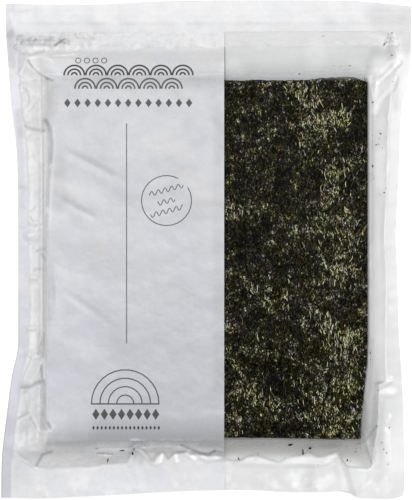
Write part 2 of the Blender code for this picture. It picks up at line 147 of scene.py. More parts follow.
# Folds, dents and cracks of the front film. Each has its half width in pixels, or two for the left and the
# right of its way, a change of whiteness, and the way's pixels. The change of whiteness is painted shade
# where it darkens and painted highlight where it lightens, with seaweed dust as well under the zip. A fold
# with a form also has a height in millimetres, which comes before the way, or at each of its pixels where it
# differs
CREASES = (
    # The flap and the facets in the upper left corner, with seaweed dust and painted shade under the zip
    ((8, 4), 0.02, (27, 58, 0.9), (44, 76, 0.6), (50, 79, 0.1)),
    ((1.5, 1.2), 0.08, (29.8, 59.6), (38.7, 69.8), (45, 75), (58, 81)),
    (1.5, -0.26, (28.4, 60.5), (32.7, 67.5), (39.4, 73.6), (45.2, 77.6), (54, 81.5)),
    (2, 0.08, (20, 74, 0.4), (26.5, 59, 0.5), (34, 56.6, 0.5), (47, 58, 0.4), (54, 62, 0.3)),
    ((6, 2), 0.06, (20, 75, 0.4), (31, 80, 0.7), (44, 78.5, 0.5)),
    ((2, 6), 0.03, (24, 85, 0.8), (43, 93, 0.7), (30, 109, 0.6)),
    (2, -0.1, (24, 87, -0.4), (28, 95, -0.5), (29, 103, -0.3)), (1.3, 0.08, 0.3, (43.9, 78), (43.9, 112)),
    ((16, 0.8), -0.12, (44.8, 81), (44.8, 112)), (3.6, 0.1, (12, 15), (14, 24)),
    (1, -0.08, (16.5, 11.5), (25, 11.2), (31, 9)), (4, -0.05, (22, 11), (41, 11)),
    ((2.6, 2), -0.16, (17, 40.4), (33, 41.4), (43, 40.2), (51, 39.8)), (4, -0.14, (18, 37.2), (50, 38.4)),
    (1.5, -0.2, (17.5, 35.6), (22, 35.8)), (5, -0.1, (52, 41), (66, 41)), (5, -0.06, (64, 40), (88, 40)),
    (1.6, -0.3, (55.6, 45), (59.5, 41.6), (64.2, 39)), (1.8, -0.1, (90.6, 38.8), (94.2, 39.8)),
    (3, -0.14, (17, 52.6, -0.5), (30, 54, -0.6), (43, 51, -0.4)),
    ((3, 4), 0.05, 0.8, (17, 46.5), (48, 46.5)), (5, -0.06, (21, 60), (22, 70)),
    (3, 0.05, (54.7, 47.6, 0.7), (62, 43.8, 0.7), (76, 47, 0.3)),
    (1.5, 0.06, (62.8, 45, 0.5), (73, 53, 0.3)),
    (1.5, 0.06, (49, 48, 0.6), (53.5, 55.5, 0.5), (78, 53.8, 0.3)),
    # Dents, puffs and cracks down the left side, and the shadow along the stack
    ((3, 4.5), -0.25, (46.8, 121), (50.2, 127), (52.2, 142), (51.6, 154), (50.8, 163)),
    ((2.2, 3.6), -0.17, (50.4, 168), (49, 186), (48.2, 206)), (1.2, 0.12, (45.4, 134), (45.6, 215)),
    (6, -0.12, (19, 112), (20, 134)),
    ((2.5, 4), -0.12, (48, 215), (47.4, 232), (46.6, 262), (46.4, 330), (47, 357), (46.6, 393),
        (44.8, 413)), ((2.5, 1), 0.06, (54, 130), (55.4, 150), (51.8, 190), (49.6, 230)),
    (5, -0.09, (51.5, 268), (51, 318)), (4, -0.08, (42, 165), (41, 395)), (5, -0.08, (20, 130), (22, 205)),
    (9, 0.09, (18, 354), (13, 412)), (7, 0.08, (47, 86), (58, 76)), (8, -0.12, (24, 386), (26, 430)),
    (7, -0.03, (42, 398), (43, 430)), (2, -0.16, (45, 382), (45, 402)),
    ((5, 4), -0.1, (38.5, 335), (38.5, 357)), (1.6, -0.1, (44.8, 119.8), (47.8, 123), (50.4, 131)),
    ((7, 2.5), 0, (25, 126.5, -0.7), (44, 131.5, -1)),
    ((3, 2), -0.22, (26, 126.6), (33, 129.5), (44, 131.5)), (6, -0.07, (28, 121), (43, 122)),
    ((2, 5), 0.04, (31, 137, 0.6), (45, 134.5, 0.5)), (1.3, -0.1, -0.3, (31.7, 211), (35.6, 207.5)),
    (1.3, -0.12, -0.3, (31, 217), (33.8, 221)), (1.5, -0.13, -0.4, (28.8, 224), (36.5, 225.2)),
    (3, 0.08, 0.6, (37, 227.5), (42, 227)), (6, 0.05, 0.7, (28, 235), (37, 234)),
    (2, -0.08, -0.3, (29, 242), (38.5, 242)), (1.5, -0.16, -0.5, (37.5, 250.8), (40.4, 249.8), (46, 248.6)),
    (1.5, -0.18, (41.5, 253.7, -0.5), (46, 260, -0.3)), (1.5, -0.16, -0.4, (34.6, 269.5), (42.3, 269.2)),
    (3, 0.03, 0.5, (32, 277.5), (36, 277.5)), (2, -0.08, -0.4, (28.8, 282.5), (38.5, 281.5)),
    (5, 0.02, 0.4, (34, 293), (34, 308)), (2.5, 0.03, 0.6, (28.5, 328.3), (35, 328)),
    (1.3, 0.1, 0.5, (43.3, 329.6), (39.5, 345)), (3, -0.1, (43.4, 333, -0.5), (42.7, 355, -0.6)),
    (1.3, -0.1, (38.6, 338), (38.3, 354)), (4, 0.02, 0.6, (27.9, 352.8), (33.7, 356.6)),
    ((6, 3), 0.02, (34, 357, 0.7), (25, 377, 0.7), (23, 387, 0.5)),
    (1.3, 0.1, 0.5, (42.3, 359), (38.5, 373)), (1.2, 0.1, 0.5, (44, 360), (44.6, 379)),
    (2, -0.16, -0.6, (41.4, 366), (41.6, 378)),
    ((2.4, 2), -0.2, (22, 388, -0.6), (31, 387, -0.8), (37, 383.4, -1), (44, 380.8, -1)),
    # The lower left corner
    (1.3, -0.14, -0.4, (19, 418.6), (28.8, 413.4)), (1, -0.1, (20, 411.4), (26, 411.2)),
    (1.4, -0.16, (30.8, 417.7, -0.5), (36.5, 428.5, -0.4)), (1.2, 0.1, 0.3, (33.6, 418), (40, 430)),
    (6, -0.14, (43.2, 416, -0.6), (43.6, 427, -0.9)), (2.4, -0.22, -0.6, (48.4, 421.5), (51, 427)),
    ((1.4, 1.8), 0.1, (38.5, 430.5, 0.5), (52, 430.8, 0.5), (53.2, 427, 0.4), (49.3, 419.6, 0.3)),
    ((14, 10), 0, (15, 447.8, 0.8), (32, 443.7, 1.2), (50, 437, 1.2)), (6, 0.07, (47, 434), (54, 447)),
    (8, -0.05, (30, 458), (39, 455)),
    ((2.4, 2), -0.22, (52, 451.5, -0.5), (43, 454.5, -0.7), (36.5, 466, -0.8)),
    (1.5, 0.1, 0.4, (14.4, 449), (21.5, 459.5), (34, 467.4)), (1.4, 0.08, (34, 468.6), (98, 468)),
    # Under the printed film's lower end
    ((2.5, 4), 0.14, 1, (98, 449.6), (131, 449.6)), (1.4, -0.2, (98, 453.4, -0.6), (112, 454.6, -0.5)),
    (1.4, -0.12, (95, 448.6), (100, 448)), ((5, 2), 0.06, (134, 447, 2), (129, 463, 0.6)),
    ((9, 3), 0.04, (134.6, 447, 2), (144, 455, 1.6), (153, 463.5, 0.6)),
    ((4, 6), -0.14, (134, 452), (141, 461)),
    ((2, 4), 0.1, (142, 448.5, 0.8), (163, 446.2, 1.1), (184, 447.5, 0.8)),
    (3, 0.1, (120, 461), (127, 459.4)), (4, 0.13, (100, 444), (196, 444.5)),
    (5, 0.1, (150, 455), (174, 455)), (6, 0.06, (90, 450), (120, 451)), (6, 0.07, (18, 452), (42, 453)),
    ((1.6, 2), -0.12, (142.5, 449.6), (152, 452), (172, 452.6), (186, 451)),
    ((1.6, 2.4), -0.26, (181.5, 444.6, -0.6), (188, 448.3, -0.8), (201.6, 453.4, -0.8),
        (208, 454.6, -0.8), (214.4, 451, -0.6)), ((1.6, 2.4), -0.2, -0.5, (214.4, 450.8), (223.5, 452.4)),
    (1.3, -0.1, (184, 438), (187.5, 443.5)), ((2, 3), 0.34, (162.4, 454.6, 0.6), (160.5, 462, 0.4)),
    (2.6, 0.32, (176, 455.4, 0.6), (177, 461.5, 0.4)), (2.6, 0.4, (186.6, 453.4, 0.6), (195, 459, 0.4)),
    (3, 0.14, (202, 457.4, 0.6), (208, 460, 0.5)), (3, 0.1, 0.6, (214, 459.5), (223, 458)),
    (5, 0.05, (82, 470), (84, 488)), (6, 0.05, (140, 474), (143, 486)),
    # Broad painted shade and light over the slack film on the sheets
    (12, -0.05, (59, 140), (59, 170)), (12, -0.1, (60, 176), (60, 204)),
    ((11, 14), -0.07, (66, 158), (84, 167), (108, 176)), (12, -0.07, (70, 200), (78, 216)),
    ((36, 34), -0.055, (188, 172), (188, 215)), (26, -0.06, (128, 190), (165, 180)),
    (9, -0.07, (219, 110), (219, 385)), (26, 0.065, (72, 312), (90, 345), (98, 366)),
    (10, 0.07, (57, 302), (57, 326)), (18, 0.06, (58, 418), (58, 430)), (16, 0.06, (86, 412), (86, 424)),
    # The seal in the upper left corner, and the header from the window to its right end
    (6, -0.12, (9, 24), (9, 34)), ((7, 6), -0.18, (10, 34), (12, 64)), (14, 0.1, (314, 50), (316, 62)),
    (14, 0.16, (232, 68), (236, 76)), (12, 0.14, (356, 68), (360, 78)), (7, 0.14, (396, 40), (398, 58)),
    # Under the window
    (6, -0.1, (224, 459), (254, 459)), (4, -0.06, (228, 444), (278, 444)),
    (4, 0.16, (330, 457), (333, 463)), (9, 0.07, (322, 483), (362, 483)), (8, 0.08, (368, 492), (380, 492)),
    ((7, 4), 0, (238, 464.5, 0.2), (250, 464, 0.4), (262, 464, 0.4), (279, 465, 0.1), (302, 464, 0.5),
        (322, 465, 0.2)), (3, 0.1, (245, 459.5), (252, 459)), (4, 0.06, (294, 461), (303, 459)),
    (6, 0.08, (306, 460), (311, 457.6)), ((5, 2), 0.12, (328, 463.6, 0.3), (337.4, 456, 0.8)),
    ((3, 7), 0.12, (338, 454.6, 1.8), (346, 491, 0.6)), ((3, 6), -0.16, -0.5, (344, 460), (355, 496)),
    (1.3, -0.14, (309, 446.4, -0.5), (340, 445.2, -0.4)), (2.2, 0.08, (296, 442.5), (352, 442.5)),
    (1.4, -0.12, -0.5, (347.7, 467.8), (369, 469)), ((2, 3), 0.1, (371, 469), (377, 463), (377.6, 448)),
    ((4, 5), 0.06, (360, 451, 0.8), (369, 463, 0.4)),
    (2, -0.22, (356.4, 444.4, -0.6), (364.8, 440, -0.7), (376.4, 427, -0.7)),
    (7, 0.14, (291, 478), (299, 487)), (6, 0.12, (321, 488), (332, 477)),
    (8, -0.06, (310, 470), (312, 488)), (3, 0.12, (363, 487), (370, 482)),
    (3, 0.08, (375, 485), (380, 484)), (2, 0.08, (387, 478), (388, 492)),
    # The right side, and the zip's right end
    (3, 0.02, (376, 451, 0.6), (380, 400, 0.8)), ((4, 3), 0.08, (380, 386, 1), (391, 381, 1.3)),
    ((8, 3), 0.05, (380, 395, 0.5), (394, 395, 0.7)), (3, 0.12, 0.7, (387, 423), (390, 417)),
    ((4, 5), 0.08, (387, 432, 1), (389, 460, 0.6)), ((4, 1), 0.12, (373, 100), (373, 118)),
    (5, 0.1, (376, 92), (375, 112)), (4, -0.1, (396, 84), (395, 110)),
    ((7, 6), 0.16, (365, 444), (367, 456)), (5, -0.07, (386, 446), (386, 480)),
    (4, -0.12, (364, 402), (366, 430)), ((6, 3), -0.07, (374, 117), (380, 114), (386, 112)),
    (1.2, -0.12, (385.7, 116, -0.5), (389, 127, -0.4)), (5, -0.05, (389, 97), (385, 107)),
    (9, -0.05, (381, 136), (377, 146)), (7, 0.09, (364, 74), (388, 72)), (12, -0.13, (374, 14), (412, 14)),
    (12, -0.08, (380, 26), (404, 27)), ((9, 7), 0.09, (380, 152), (380, 184)),
    (6, -0.08, (398, 76), (397, 106)), ((3, 2), 0.08, (371, 245), (371, 336)),
    # The upper right corner
    ((3, 2.5), 0.16, (399.6, 62.8, 0.9), (390.5, 72, 1.1), (378, 83.6, 1.1)),
    ((3, 5), 0.18, (378, 83.6, 1.1), (374.6, 97, 0.9)),
    ((6, 4), 0.16, (396.5, 61, 0.6), (391, 63, 0.7), (382, 71, 0.6)),
    (2, -0.1, -0.4, (392, 66.5), (380, 77.5)),
    ((4, 3), 0.12, (396, 79, 0.6), (392, 88, 0.9), (381, 99.5, 1), (374, 113, 0.6)),
    (5, -0.05, -0.5, (391, 49.5), (395, 50)), (1.6, 0.24, 0.5, (384.6, 45.6), (391, 42.7), (397.6, 45)),
    (1.2, -0.34, (384, 46), (385.6, 41)), (5, -0.1, (386, 35), (391, 39.5)),
    (1.3, 0.12, 0.4, (390, 34), (388.4, 40)), (1.3, 0.12, 0.4, (393, 35.4), (397.5, 38)),
)

# Soft wrinkles of the printed film over the sheets, in pixels, with half widths and depths in millimetres
STREAKS = (
    ((57, 147), (122, 181), 7, 0.30),
    ((57, 197), (112, 228), 6, 0.26),
    ((58, 262), (112, 281), 6, 0.24),
    ((66, 292), (108, 322), 6, 0.20),
    ((53, 280), (54, 322), 3, 0.24),
)

# How finely the films are divided: columns of the left margin, the print, the window and the right margin,
# and rows of the lower end, the stack, the header and the zip
FRONT_COLUMNS, FRONT_ROWS = (56, 140, 112, 40), (60, 220, 50, 34)
BACK_COLUMNS, BACK_ROWS = (20, 16, 14, 18), (26, 40, 12, 14)
GRID_ROUNDS = 5
# Where it is calm, blocks of so many cells each way become one face: between these rows, and so far from
# the stack's sides
BLOCK = 4
CALM_ROWS = (88, 410)
CALM_LEFT, CALM_RIGHT = 4 * MM, 6 * MM
FILM_THICK = 0.1 * MM
SHARP_ANGLE = 50

random.seed(7)


def x_of(px):
    return (px - PHOTO_CENTRE[0]) * PIXEL


def y_of(py):
    return (PHOTO_CENTRE[1] - py) * PIXEL


def at(px, py):
    """The place of a pixel of the photograph, in metres."""
    return x_of(px), y_of(py)


def column_of(x):
    return x / PIXEL + PHOTO_CENTRE[0]


def row_of(y):
    return PHOTO_CENTRE[1] - y / PIXEL


def read_line(points, place):
    """The height at a place, on straight lines through (place, height) points."""
    return np.interp(place, *np.array(points, float).T)


def smooth(low, high, value):
    """A soft step from 0 to 1 between two values, which falls where the first is the higher."""
    share = np.clip((value - low) / (high - low), 0, 1)
    return share * share * (3 - 2 * share)


def curve_through(points, share):
    """Heights at shares of the way along a smooth curve through (share, height) points."""
    shares, heights = np.array(points, float).T
    share = np.clip(share, shares[0], shares[-1])
    index = np.clip(np.searchsorted(shares, share), 1, len(shares) - 1)
    before, after = np.maximum(index - 2, 0), np.minimum(index + 1, len(shares) - 1)
    start, end = index - 1, index
    run = shares[end] - shares[start]
    slope_in = run * (heights[end] - heights[before]) / (shares[end] - shares[before])
    slope_out = run * (heights[after] - heights[start]) / (shares[after] - shares[start])
    t = (share - shares[start]) / run
    return (
        heights[start] * (2 * t ** 3 - 3 * t ** 2 + 1)
        + slope_in * (t ** 3 - 2 * t ** 2 + t)
        + heights[end] * (3 * t ** 2 - 2 * t ** 3)
        + slope_out * (t ** 3 - t ** 2)
    )


def noise_over(x, y, size, seed=0.0):
    """Smooth noise from about -1 to 1, with features of one size."""
    values = [noise.noise((a, b, seed)) for a, b in zip(x.ravel() / size, y.ravel() / size)]
    return np.array(values).reshape(x.shape) * 1.6


def creased_over(x, y, size, seed):
    """Noise with sharp crests, as in crumpled film."""
    return 0.35 - np.abs(noise_over(x, y, size, seed))


def left_edge(v):
    return -POUCH_WIDTH / 2 + curve_through(LEFT_INSET, v) * MM


def right_edge(v):
    return POUCH_WIDTH / 2 - curve_through(RIGHT_INSET, v) * MM


def top_edge(u):
    return POUCH_LENGTH / 2 - curve_through(TOP_INSET, u) * MM


def bottom_edge(u):
    return -POUCH_LENGTH / 2 + curve_through(BOTTOM_INSET, u) * MM


def slant_at(y, height):
    """How far the sheets' right edge goes in, at a share of the stack's height."""
    share = LOWER_SHEETS_SLANT + (1 - LOWER_SHEETS_SLANT) * height
    down = np.maximum(0.0, SLANT_FROM - y) / (SLANT_FROM - STACK_BOTTOM)
    return SLANT * share * down ** 1.4


def droop_at(y):
    """How far the sheets droop towards their lower end."""
    down = np.clip(STACK_BOTTOM + DROOP_LENGTH - y, 0, DROOP_LENGTH) / DROOP_LENGTH
    return DROOP * down ** 2


def fused_bottom(x):
    """The height on the page of the line where the films meet along the bottom."""
    columns, rows = np.array(FUSED_BOTTOM, float).T
    return np.interp(x, x_of(columns), y_of(rows))


def fused_right(y):
    """The place across the page of the line where the films meet up the right side."""
    rows, columns = np.array(FUSED_RIGHT, float).T
    return np.interp(-y, -y_of(rows), x_of(columns))


def beside_line(x, y, start, end):
    """The share of the way along a line in pixels, the distance from it, and which side is left."""
    start, end = np.array(at(*start)), np.array(at(*end))
    run = end - start
    along = np.clip(((x - start[0]) * run[0] + (y - start[1]) * run[1]) / (run @ run), 0, 1)
    away = np.hypot(x - start[0] - run[0] * along, y - start[1] - run[1] * along)
    return along, away, run[0] * (y - start[1]) > run[1] * (x - start[0])


def crease_values(x, y):
    """The creases' heights in metres and changes of tone. Each falls off straight, so its sides are flat."""
    heights, tones = np.zeros(x.shape), np.zeros(x.shape)
    for half, change, *way in CREASES:
        left, right = half if isinstance(half, tuple) else (half, half)
        height = 0 if isinstance(way[0], tuple) else way.pop(0)
        way = [(*point, height)[:3] for point in way]
        nearest, high = np.zeros(x.shape), np.zeros(x.shape)
        for start, end in zip(way, way[1:]):
            along, away, on_left = beside_line(x, y, start[:2], end[:2])
            share = np.maximum(0.0, 1 - away / (np.where(on_left, left, right) * PIXEL))
            high = np.where(share > nearest, start[2] + (end[2] - start[2]) * along, high)
            nearest = np.maximum(nearest, share)
        heights += nearest * high * MM
        tones += np.minimum(1.0, 1.5 * nearest) * change
    return heights, tones


def streak_depths(x, y):
    """The depths of the soft wrinkles, in millimetres."""
    total = np.zeros(x.shape)
    for start, end, half, depth in STREAKS:
        along, away, _ = beside_line(x, y, start, end)
        total += depth * (1 - smooth(0, half * PIXEL, away)) * np.sin(np.pi * np.clip(along, 0.08, 0.92))
    return total


class Film:
    """The pouch's two films over a grid of plan positions."""

    def __init__(self, column_counts, row_counts):
        columns, rows = sum(column_counts), sum(row_counts)
        self.i, self.j = np.meshgrid(np.arange(columns + 1), np.arange(rows + 1), indexing="ij")
        self.u, self.v = self.i / columns, self.j / rows
        for _ in range(GRID_ROUNDS):
            self.x = self.column_places(column_counts)
            self.y = self.row_places(row_counts)
            low_x, high_x = left_edge(self.v), right_edge(self.v)
            self.u = (self.x - low_x) / (high_x - low_x)
            low_y, high_y = bottom_edge(self.u), top_edge(self.u)
            self.v = (self.y - low_y) / (high_y - low_y)
        self.measure()

    def column_places(self, counts):
        crests = [STACK_LEFT - SHOULDER, WINDOW_LEFT, STACK_RIGHT + SHOULDER]
        stops = [left_edge(self.v), *crests, right_edge(self.v)]
        return places_between(self.i, counts, stops)

    def row_places(self, counts):
        crests = [STACK_BOTTOM - SHOULDER, STACK_TOP + SHOULDER, WINDOW_TOP]
        stops = [bottom_edge(self.u), *crests, top_edge(self.u)]
        return places_between(self.j, counts, stops)

    def measure(self):
        """The distances from the edges, and the shares of the way from each seal to the stack."""
        x, y, u, v = self.x, self.y, self.u, self.v
        self.left, self.right = x - left_edge(v), right_edge(v) - x
        self.bottom, self.top = y - bottom_edge(u), top_edge(u) - y
        seal_left, seal_right = left_edge(v) + SIDE_SEAL, right_edge(v) - SIDE_SEAL
        fused_x = np.minimum(fused_right(y), seal_right)
        fused_y = fused_bottom(x)
        high_x = fused_x - STACK_RIGHT - SHOULDER + slant_at(y, 1)
        low_y = STACK_BOTTOM - SHOULDER - fused_y
        high_y = top_edge(u) - ZIP_BAND - STACK_TOP - SHOULDER
        self.shares = (
            (x - seal_left) / (STACK_LEFT - SHOULDER - seal_left),
            (fused_x - x) / high_x,
            (y - fused_y) / low_y,
            (self.top - ZIP_BAND) / high_y,
        )
        self.inside = np.clip(np.min(self.shares, axis=0), 0, 1)
        beyond = (
            (STACK_LEFT - x) / (STACK_LEFT - seal_left),
            (x - STACK_RIGHT) / (seal_right - STACK_RIGHT),
            (STACK_BOTTOM - y) / (STACK_BOTTOM - bottom_edge(u) - BOTTOM_SEAL),
            (y - STACK_TOP) / (top_edge(u) - STACK_TOP - ZIP_BAND),
        )
        self.outside = np.clip(np.max(beyond, axis=0), 0, 1)
        self.on_stack = smooth(0.8, 1.0, self.inside)
        nearest_side, nearest_end = np.minimum(self.left, self.right), np.minimum(self.bottom, self.top)
        weight = smooth(-12 * MM, 12 * MM, nearest_side - nearest_end)
        side = curve_through(SIDE_SEAM, v)
        end = np.where(self.bottom < self.top, curve_through(BOTTOM_SEAM, u), curve_through(TOP_SEAM, u))
        self.seam = (side * (1 - weight) + end * weight) * MM

    def back(self):
        return BACK_UNDER_SEAM * self.outside + self.seam * self.outside ** BACK_CURVE

    def front(self):
        x, y = self.x, self.y
        seam = self.seam + BACK_UNDER_SEAM + SEAM_FILM
        crest = FRONT_Z - droop_at(y)
        rises = (LEFT_RISE, RIGHT_RISE, BOTTOM_RISE, HEADER_RISE)
        heights = [
            seam + (crest - seam) * curve_through(rise, share) for rise, share in zip(rises, self.shares)
        ]
        least = np.min(heights, axis=0)
        total = sum(np.exp((least - height) / HIP_SOFTNESS) for height in heights)
        hip = np.maximum(seam, least - HIP_SOFTNESS * np.log(total))
        base = hip + (least - hip) * self.on_stack
        margin = (1 - self.on_stack) * smooth(0.0, 0.12, self.inside)
        crumple = 0.32 * noise_over(x, y, 11 * MM) + 0.45 * creased_over(x, y, 8 * MM, 3.0)
        crumple += 0.24 * creased_over(x, y, 4 * MM, 5.0)
        crumple *= 1 - 0.7 * smooth(STACK_TOP, STACK_TOP + 6 * MM, y) * smooth(-90 * MM, -78 * MM, x)
        up_left = smooth(STACK_LEFT, STACK_LEFT - 1 * MM, x) * smooth(*map(y_of, LESS_CRUMPLED), y)
        crumple *= 1 - 0.6 * up_left
        self.folds, self.shades = crease_values(x, y)
        shaped = base + crumple * MM * margin * (1 - self.on_stack)
        shaped += np.maximum(self.folds, 0) + np.minimum(self.folds, 0) * (1 - self.on_stack)
        shaped += self.on_stack * self.panel_waves()
        shaped += self.seal_ripple() + self.zip_ribs()
        return np.maximum(shaped, self.back() + SEAM_FILM)

    def panel_waves(self):
        """Slack in the film over the sheets."""
        x, y = self.x, self.y
        waves = 0.22 * noise_over(x, y * 1.4, 34 * MM, 9.0) + 0.08 * noise_over(x, y, 12 * MM, 11.0)
        return (waves - streak_depths(x, y)) * MM

    def seal_ripple(self):
        """Broad ripples across the bottom seal, and faint ones in the other seals."""
        x, y = self.x, self.y
        in_bottom = 1 - smooth(0.9, 1.05, self.bottom / BOTTOM_SEAL)
        waves = 0.35 * noise_over(x, y * 0.35, 9 * MM, 13.0) + 0.12 * noise_over(x, y * 0.6, 3.5 * MM, 15.0)
        near_edge = 0.25 + 0.75 * (1 - smooth(0.0, 1.0, self.bottom / BOTTOM_SEAL))
        in_header = 1 - smooth(0.5, 1.0, self.top / ZIP_BAND)
        top_waves = 0.25 * noise_over(x, y * 0.3, 10 * MM, 17.0)
        sides = 1 - smooth(0.8, 1.1, np.minimum(self.left, self.right) / SIDE_SEAL)
        side_waves = 0.10 * noise_over(x * 0.5, y, 6 * MM, 19.0)
        return (waves * in_bottom * near_edge + top_waves * in_header ** 2 + side_waves * sides) * MM

    def zip_ribs(self):
        """The zip: a raised band with fine ribs over and under it."""
        y = self.y
        band_low, band_high = map(y_of, ZIP_BAND_ROWS)
        band = smooth(band_low - 2.6 * MM, band_low + 0.6 * MM, y)
        band *= 1 - smooth(band_high - 0.4 * MM, band_high + 1.8 * MM, y)
        ribs_low, ribs_high = map(y_of, ZIP_RIB_ROWS)
        ribs = smooth(ribs_low - 0.6 * MM, ribs_low, y) * (1 - smooth(ribs_high, ribs_high + 0.6 * MM, y))
        lines = 0.5 + 0.5 * np.cos(2 * math.pi * (y - ribs_low) / RIB_PITCH)
        ends = smooth(2 * MM, 6 * MM, np.minimum(self.left, self.right))
        return (0.11 * band + ribs * (0.03 + 0.03 * lines)) * ends * MM


def places_between(index, counts, stops):
    """Even places in each stretch between the stops, for grid indices."""
    result = np.zeros(index.shape)
    first = 0
    for count, low, high in zip(counts, stops, stops[1:]):
        inside = (index >= first) & (index <= first + count)
        share = (index - first) / count
        result = np.where(inside, low + (high - low) * share, result)
        first += count
    return result


def link(name, data):
    item = bpy.data.objects.new(name, data)
    bpy.context.scene.collection.objects.link(item)
    return item


def link_mesh(name, verts, faces, material, smooth_shade=True):
    data = bpy.data.meshes.new(name)
    data.from_pydata(verts, [], faces)
    data.update()
    if smooth_shade:
        data.shade_smooth()
    data.materials.append(material)
    return link(name, data)


def give_values(item, name, values):
    """Gives each point of a mesh a value that its material reads."""
    layer = item.data.attributes.new(name, "FLOAT", "POINT")
    layer.data.foreach_set("value", np.array(values, np.float32))


def bar_faces(first, count, closed=False):
    """Faces of a flat bar with four corners at each of its stations."""
    faces = []
    for k in range(count if closed else count - 1):
        a, b = first + 4 * k, first + 4 * ((k + 1) % count)
        faces += [
            (a, a + 2, b + 2, b), (a + 1, b + 1, b + 3, a + 3),
            (a, b, b + 1, a + 1), (a + 2, a + 3, b + 3, b + 2),
        ]
    if not closed:
        last = first + 4 * (count - 1)
        faces += [(first, first + 1, first + 3, first + 2), (last, last + 2, last + 3, last + 1)]
    return faces


def slab_faces(first, count):
    """Faces of a slab whose lower ring of corners comes first, and then its upper one."""
    upper = first + count
    faces = [tuple(range(upper - 1, first - 1, -1)), tuple(range(upper, upper + count))]
    for a in range(count):
        b = (a + 1) % count
        faces.append((first + a, first + b, upper + b, upper + a))
    return faces


def grid_normals(points):
    """Unit normals of a grid of points, facing up."""
    across = np.gradient(points, axis=0)
    along = np.gradient(points, axis=1)
    normals = np.cross(across, along)
    return normals / np.linalg.norm(normals, axis=2, keepdims=True)


def grid_faces(wanted, calm):
    """Faces of a grid's wanted cells: single cells, and whole blocks of them where it is calm."""
    columns, rows = wanted.shape
    number = np.arange((columns + 1) * (rows + 1)).reshape(columns + 1, rows + 1)
    across, up = columns // BLOCK, rows // BLOCK
    whole = (wanted & calm)[:across * BLOCK, :up * BLOCK].reshape(across, BLOCK, up, BLOCK)
    merged = whole.all(axis=(1, 3))
    single = wanted.copy()
    single[:across * BLOCK, :up * BLOCK] &= ~merged.repeat(BLOCK, axis=0).repeat(BLOCK, axis=1)
    i, j = np.argwhere(single).T
    corners = (number[i, j], number[i + 1, j], number[i + 1, j + 1], number[i, j + 1])
    faces = np.stack(corners, axis=1).tolist()
    beside = np.pad(merged, 1)
    for a, b in np.argwhere(merged):
        i, j = a * BLOCK, b * BLOCK
        far_i, far_j = i + BLOCK, j + BLOCK
        sides = (
            (number[i:far_i, j], beside[a + 1, b]), (number[far_i, j:far_j], beside[a + 2, b + 1]),
            (number[far_i:i:-1, far_j], beside[a + 1, b + 2]), (number[i, far_j:j:-1], beside[a, b + 1]),
        )
        faces.append([int(v) for line, plain in sides for v in (line[:1] if plain else line)])
    return faces


def shell(name, points, faces, thick, material, **values):
    """A thin closed shell under the faces of a grid of points, with values for the points."""
    lower = points - grid_normals(points) * thick
    used = sorted({v for face in faces for v in face})
    place = {v: k for k, v in enumerate(used)}
    count = len(used)
    tops = [[place[v] for v in face] for face in faces]
    rim = set()
    for face in tops:
        for a, b in zip(face, face[1:] + face[:1]):
            if (b, a) in rim:
                rim.remove((b, a))
            else:
                rim.add((a, b))
    every = tops + [[v + count for v in reversed(face)] for face in tops]
    every += [(b, a, a + count, b + count) for a, b in sorted(rim)]
    verts = np.concatenate([points.reshape(-1, 3)[used], lower.reshape(-1, 3)[used]])
    item = link_mesh(name, verts.tolist(), every, material)
    item.data.set_sharp_from_angle(angle=math.radians(SHARP_ANGLE))
    for key, value in values.items():
        give_values(item, key, np.tile(value.ravel()[used], 2))
    return item


# Materials

